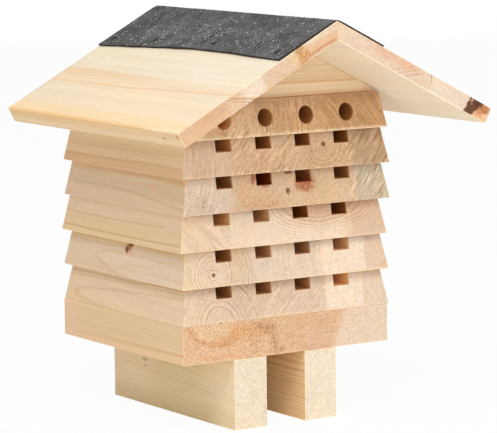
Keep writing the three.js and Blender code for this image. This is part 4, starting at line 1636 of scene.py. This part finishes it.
# %% The two sorts of grit
def stone_material(name, low, high):
    material, net = blank_material(name)
    place = net.place()
    shade = net.noise(place, 0.9, 1.0)
    fleck = net.noise(place, 0.2, 1.0)
    body = net.mix(net.fade(shade, 0.35, 0.65), low, high) * (fleck * 0.5 + 0.75)
    net.surface(body, 0.6, net.relief(fleck, 0.6, 0.08))
    return material


def strewn(name, stone, density, cluster, beds, seed):
    values = {"Density": density, "Size": grit_size, "Cluster": cluster, "Beds": beds, "Seed": seed}
    values["Stone"] = stone
    return object_of(name, grown(name, strew_tree, felt.data.copy(), values))


grit_size = 0.38 * MM
pale_stone = stone_material("pale_grit", paint(118, 118, 114), paint(232, 232, 224))
grey_stone = stone_material("grey_grit", paint(52, 54, 54), paint(110, 112, 112))
pale_grit = strewn("pale_grit", pale_stone, density=640000, cluster=7 * MM, beds=0.9, seed=4)
grey_grit = strewn("grey_grit", grey_stone, density=400000, cluster=30 * MM, beds=0.0, seed=9)
print("faces in the grit:", len(pale_grit.data.polygons), "pale and", len(grey_grit.data.polygons), "grey")

# %% [markdown]
# Eight clout nails hold the felt. Only their heads show, so discs would do, but a nail is turned here
# like on a lathe, with a slightly domed head and a tapered point, so that it is whole under the felt
# as well. A geometry tree sets it at every place, square to the slope that it is driven into.

# %% Steel and the turned nail
clout_sides = 20
clout_profile = [(0, 0.62), (0.7, 0.56), (1.25, 0.36), (1.5, 0.12)]
clout_profile += [(1.45, 0), (0.9, -0.05), (0.9, -6), (0, -8)]


def steel_material(name, body, roughness):
    material, net = blank_material(name)
    place = net.place()
    dull = net.noise(place, 0.9, 2.0)
    mark = net.noise(place * (1.0, 1.0, 0.15), 0.25, 1.0)
    colour = net.mix(net.fade(dull, 0.4, 0.7), body, tuple(c * 0.55 for c in body[:3]) + (1.0,))
    net.surface(colour, dull * 0.2 + roughness, net.relief(mark, 0.4, 0.05), {"Metallic": 0.85})
    return material


def turned(name, profile, sides):
    """A closed solid of revolution from (radius, height) pairs in millimetres."""
    shape = bmesh.new()
    rings = []
    for radius, height in profile:
        if radius == 0:
            rings.append([shape.verts.new((0, 0, height * MM))] * sides)
            continue
        turns = [2 * math.pi * i / sides for i in range(sides)]
        ring = [(math.cos(a) * radius * MM, math.sin(a) * radius * MM, height * MM) for a in turns]
        rings.append([shape.verts.new(place) for place in ring])
    for above, below in zip(rings, rings[1:]):
        for i in range(sides):
            j = (i + 1) % sides
            corners = [above[i], below[i], below[j], above[j]]
            shape.faces.new(list(dict.fromkeys(corners)))
    for face in shape.faces:
        face.smooth = True
    mesh = bpy.data.meshes.new(name)
    shape.to_mesh(mesh)
    shape.free()
    return mesh


clout_steel = steel_material("clout_steel", paint(58, 56, 54), 0.5)
bright_steel = steel_material("bright_steel", paint(172, 174, 176), 0.3)
one_nail = object_of("one_clout_nail", turned("one_clout_nail", clout_profile, clout_sides))
print("faces in one clout nail:", len(one_nail.data.polygons))

# %% Set the nails
nail_inputs = {"Geometry": ["Places"], "Object": ["Nail"], "Material": ["Steel"]}
nail_tree, setter, given = tree_with("clout_nails", nail_inputs, "Nails")
shape = setter.add("GeometryNodeObjectInfo", None, {"Object": given["Nail"]})["Geometry"]
tilt = carried(setter, "FLOAT_VECTOR", "tilt")
close_tree(setter, "Nails", copies(setter, given["Places"], shape, {"Rotation": tilt}), given["Steel"])

places = bpy.data.meshes.new("clout_places")
places.from_pydata(nail_places, [], [])
tilts = places.attributes.new("tilt", "FLOAT_VECTOR", "POINT")
for row, angles in zip(tilts.data, nail_tilts):
    row.vector = angles
nail_values = {"Nail": one_nail, "Steel": clout_steel}
felt_nails = object_of("felt_nails", grown("felt_nails", nail_tree, places, nail_values))
bpy.data.objects.remove(one_nail)
print("faces in the clout nails:", len(felt_nails.data.polygons))

# %% [markdown]
# Now the new pieces take the place of the plain ones. Each hangs under the hotel's root, and the piece
# of the solid model that it stands for is hidden. The hidden nails and screws keep the shape that they
# have in the solid model, and only get their steel.

# %% Dress the hotel
slots = {"base_board": "base_wood", "drilled_top_block": "top_block_wood", "left_leg": "leg_wood"}
slots.update({"right_leg": "leg_wood", "front_gable_board": "gable_wood", "rear_gable_board": "gable_wood"})
slots.update({"left_roof_board": "roof_wood", "right_roof_board": "roof_wood"})
for node, board in boards.items():
    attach(board, "root")
    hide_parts(node)
    slots.get(node, "tray_wood")

for piece in (felt, pale_grit, grey_grit):
    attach(piece, "root")
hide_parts("roofing_felt")
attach(felt_nails, "root")
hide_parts(*felt_nail_names)
for name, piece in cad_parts.items():
    if ("nail" in name or "screw" in name) and "felt" not in name:
        for holder in piece.material_slots:
            holder.material = bright_steel
print("boards whose slot isn't that of the trays:", len(slots))
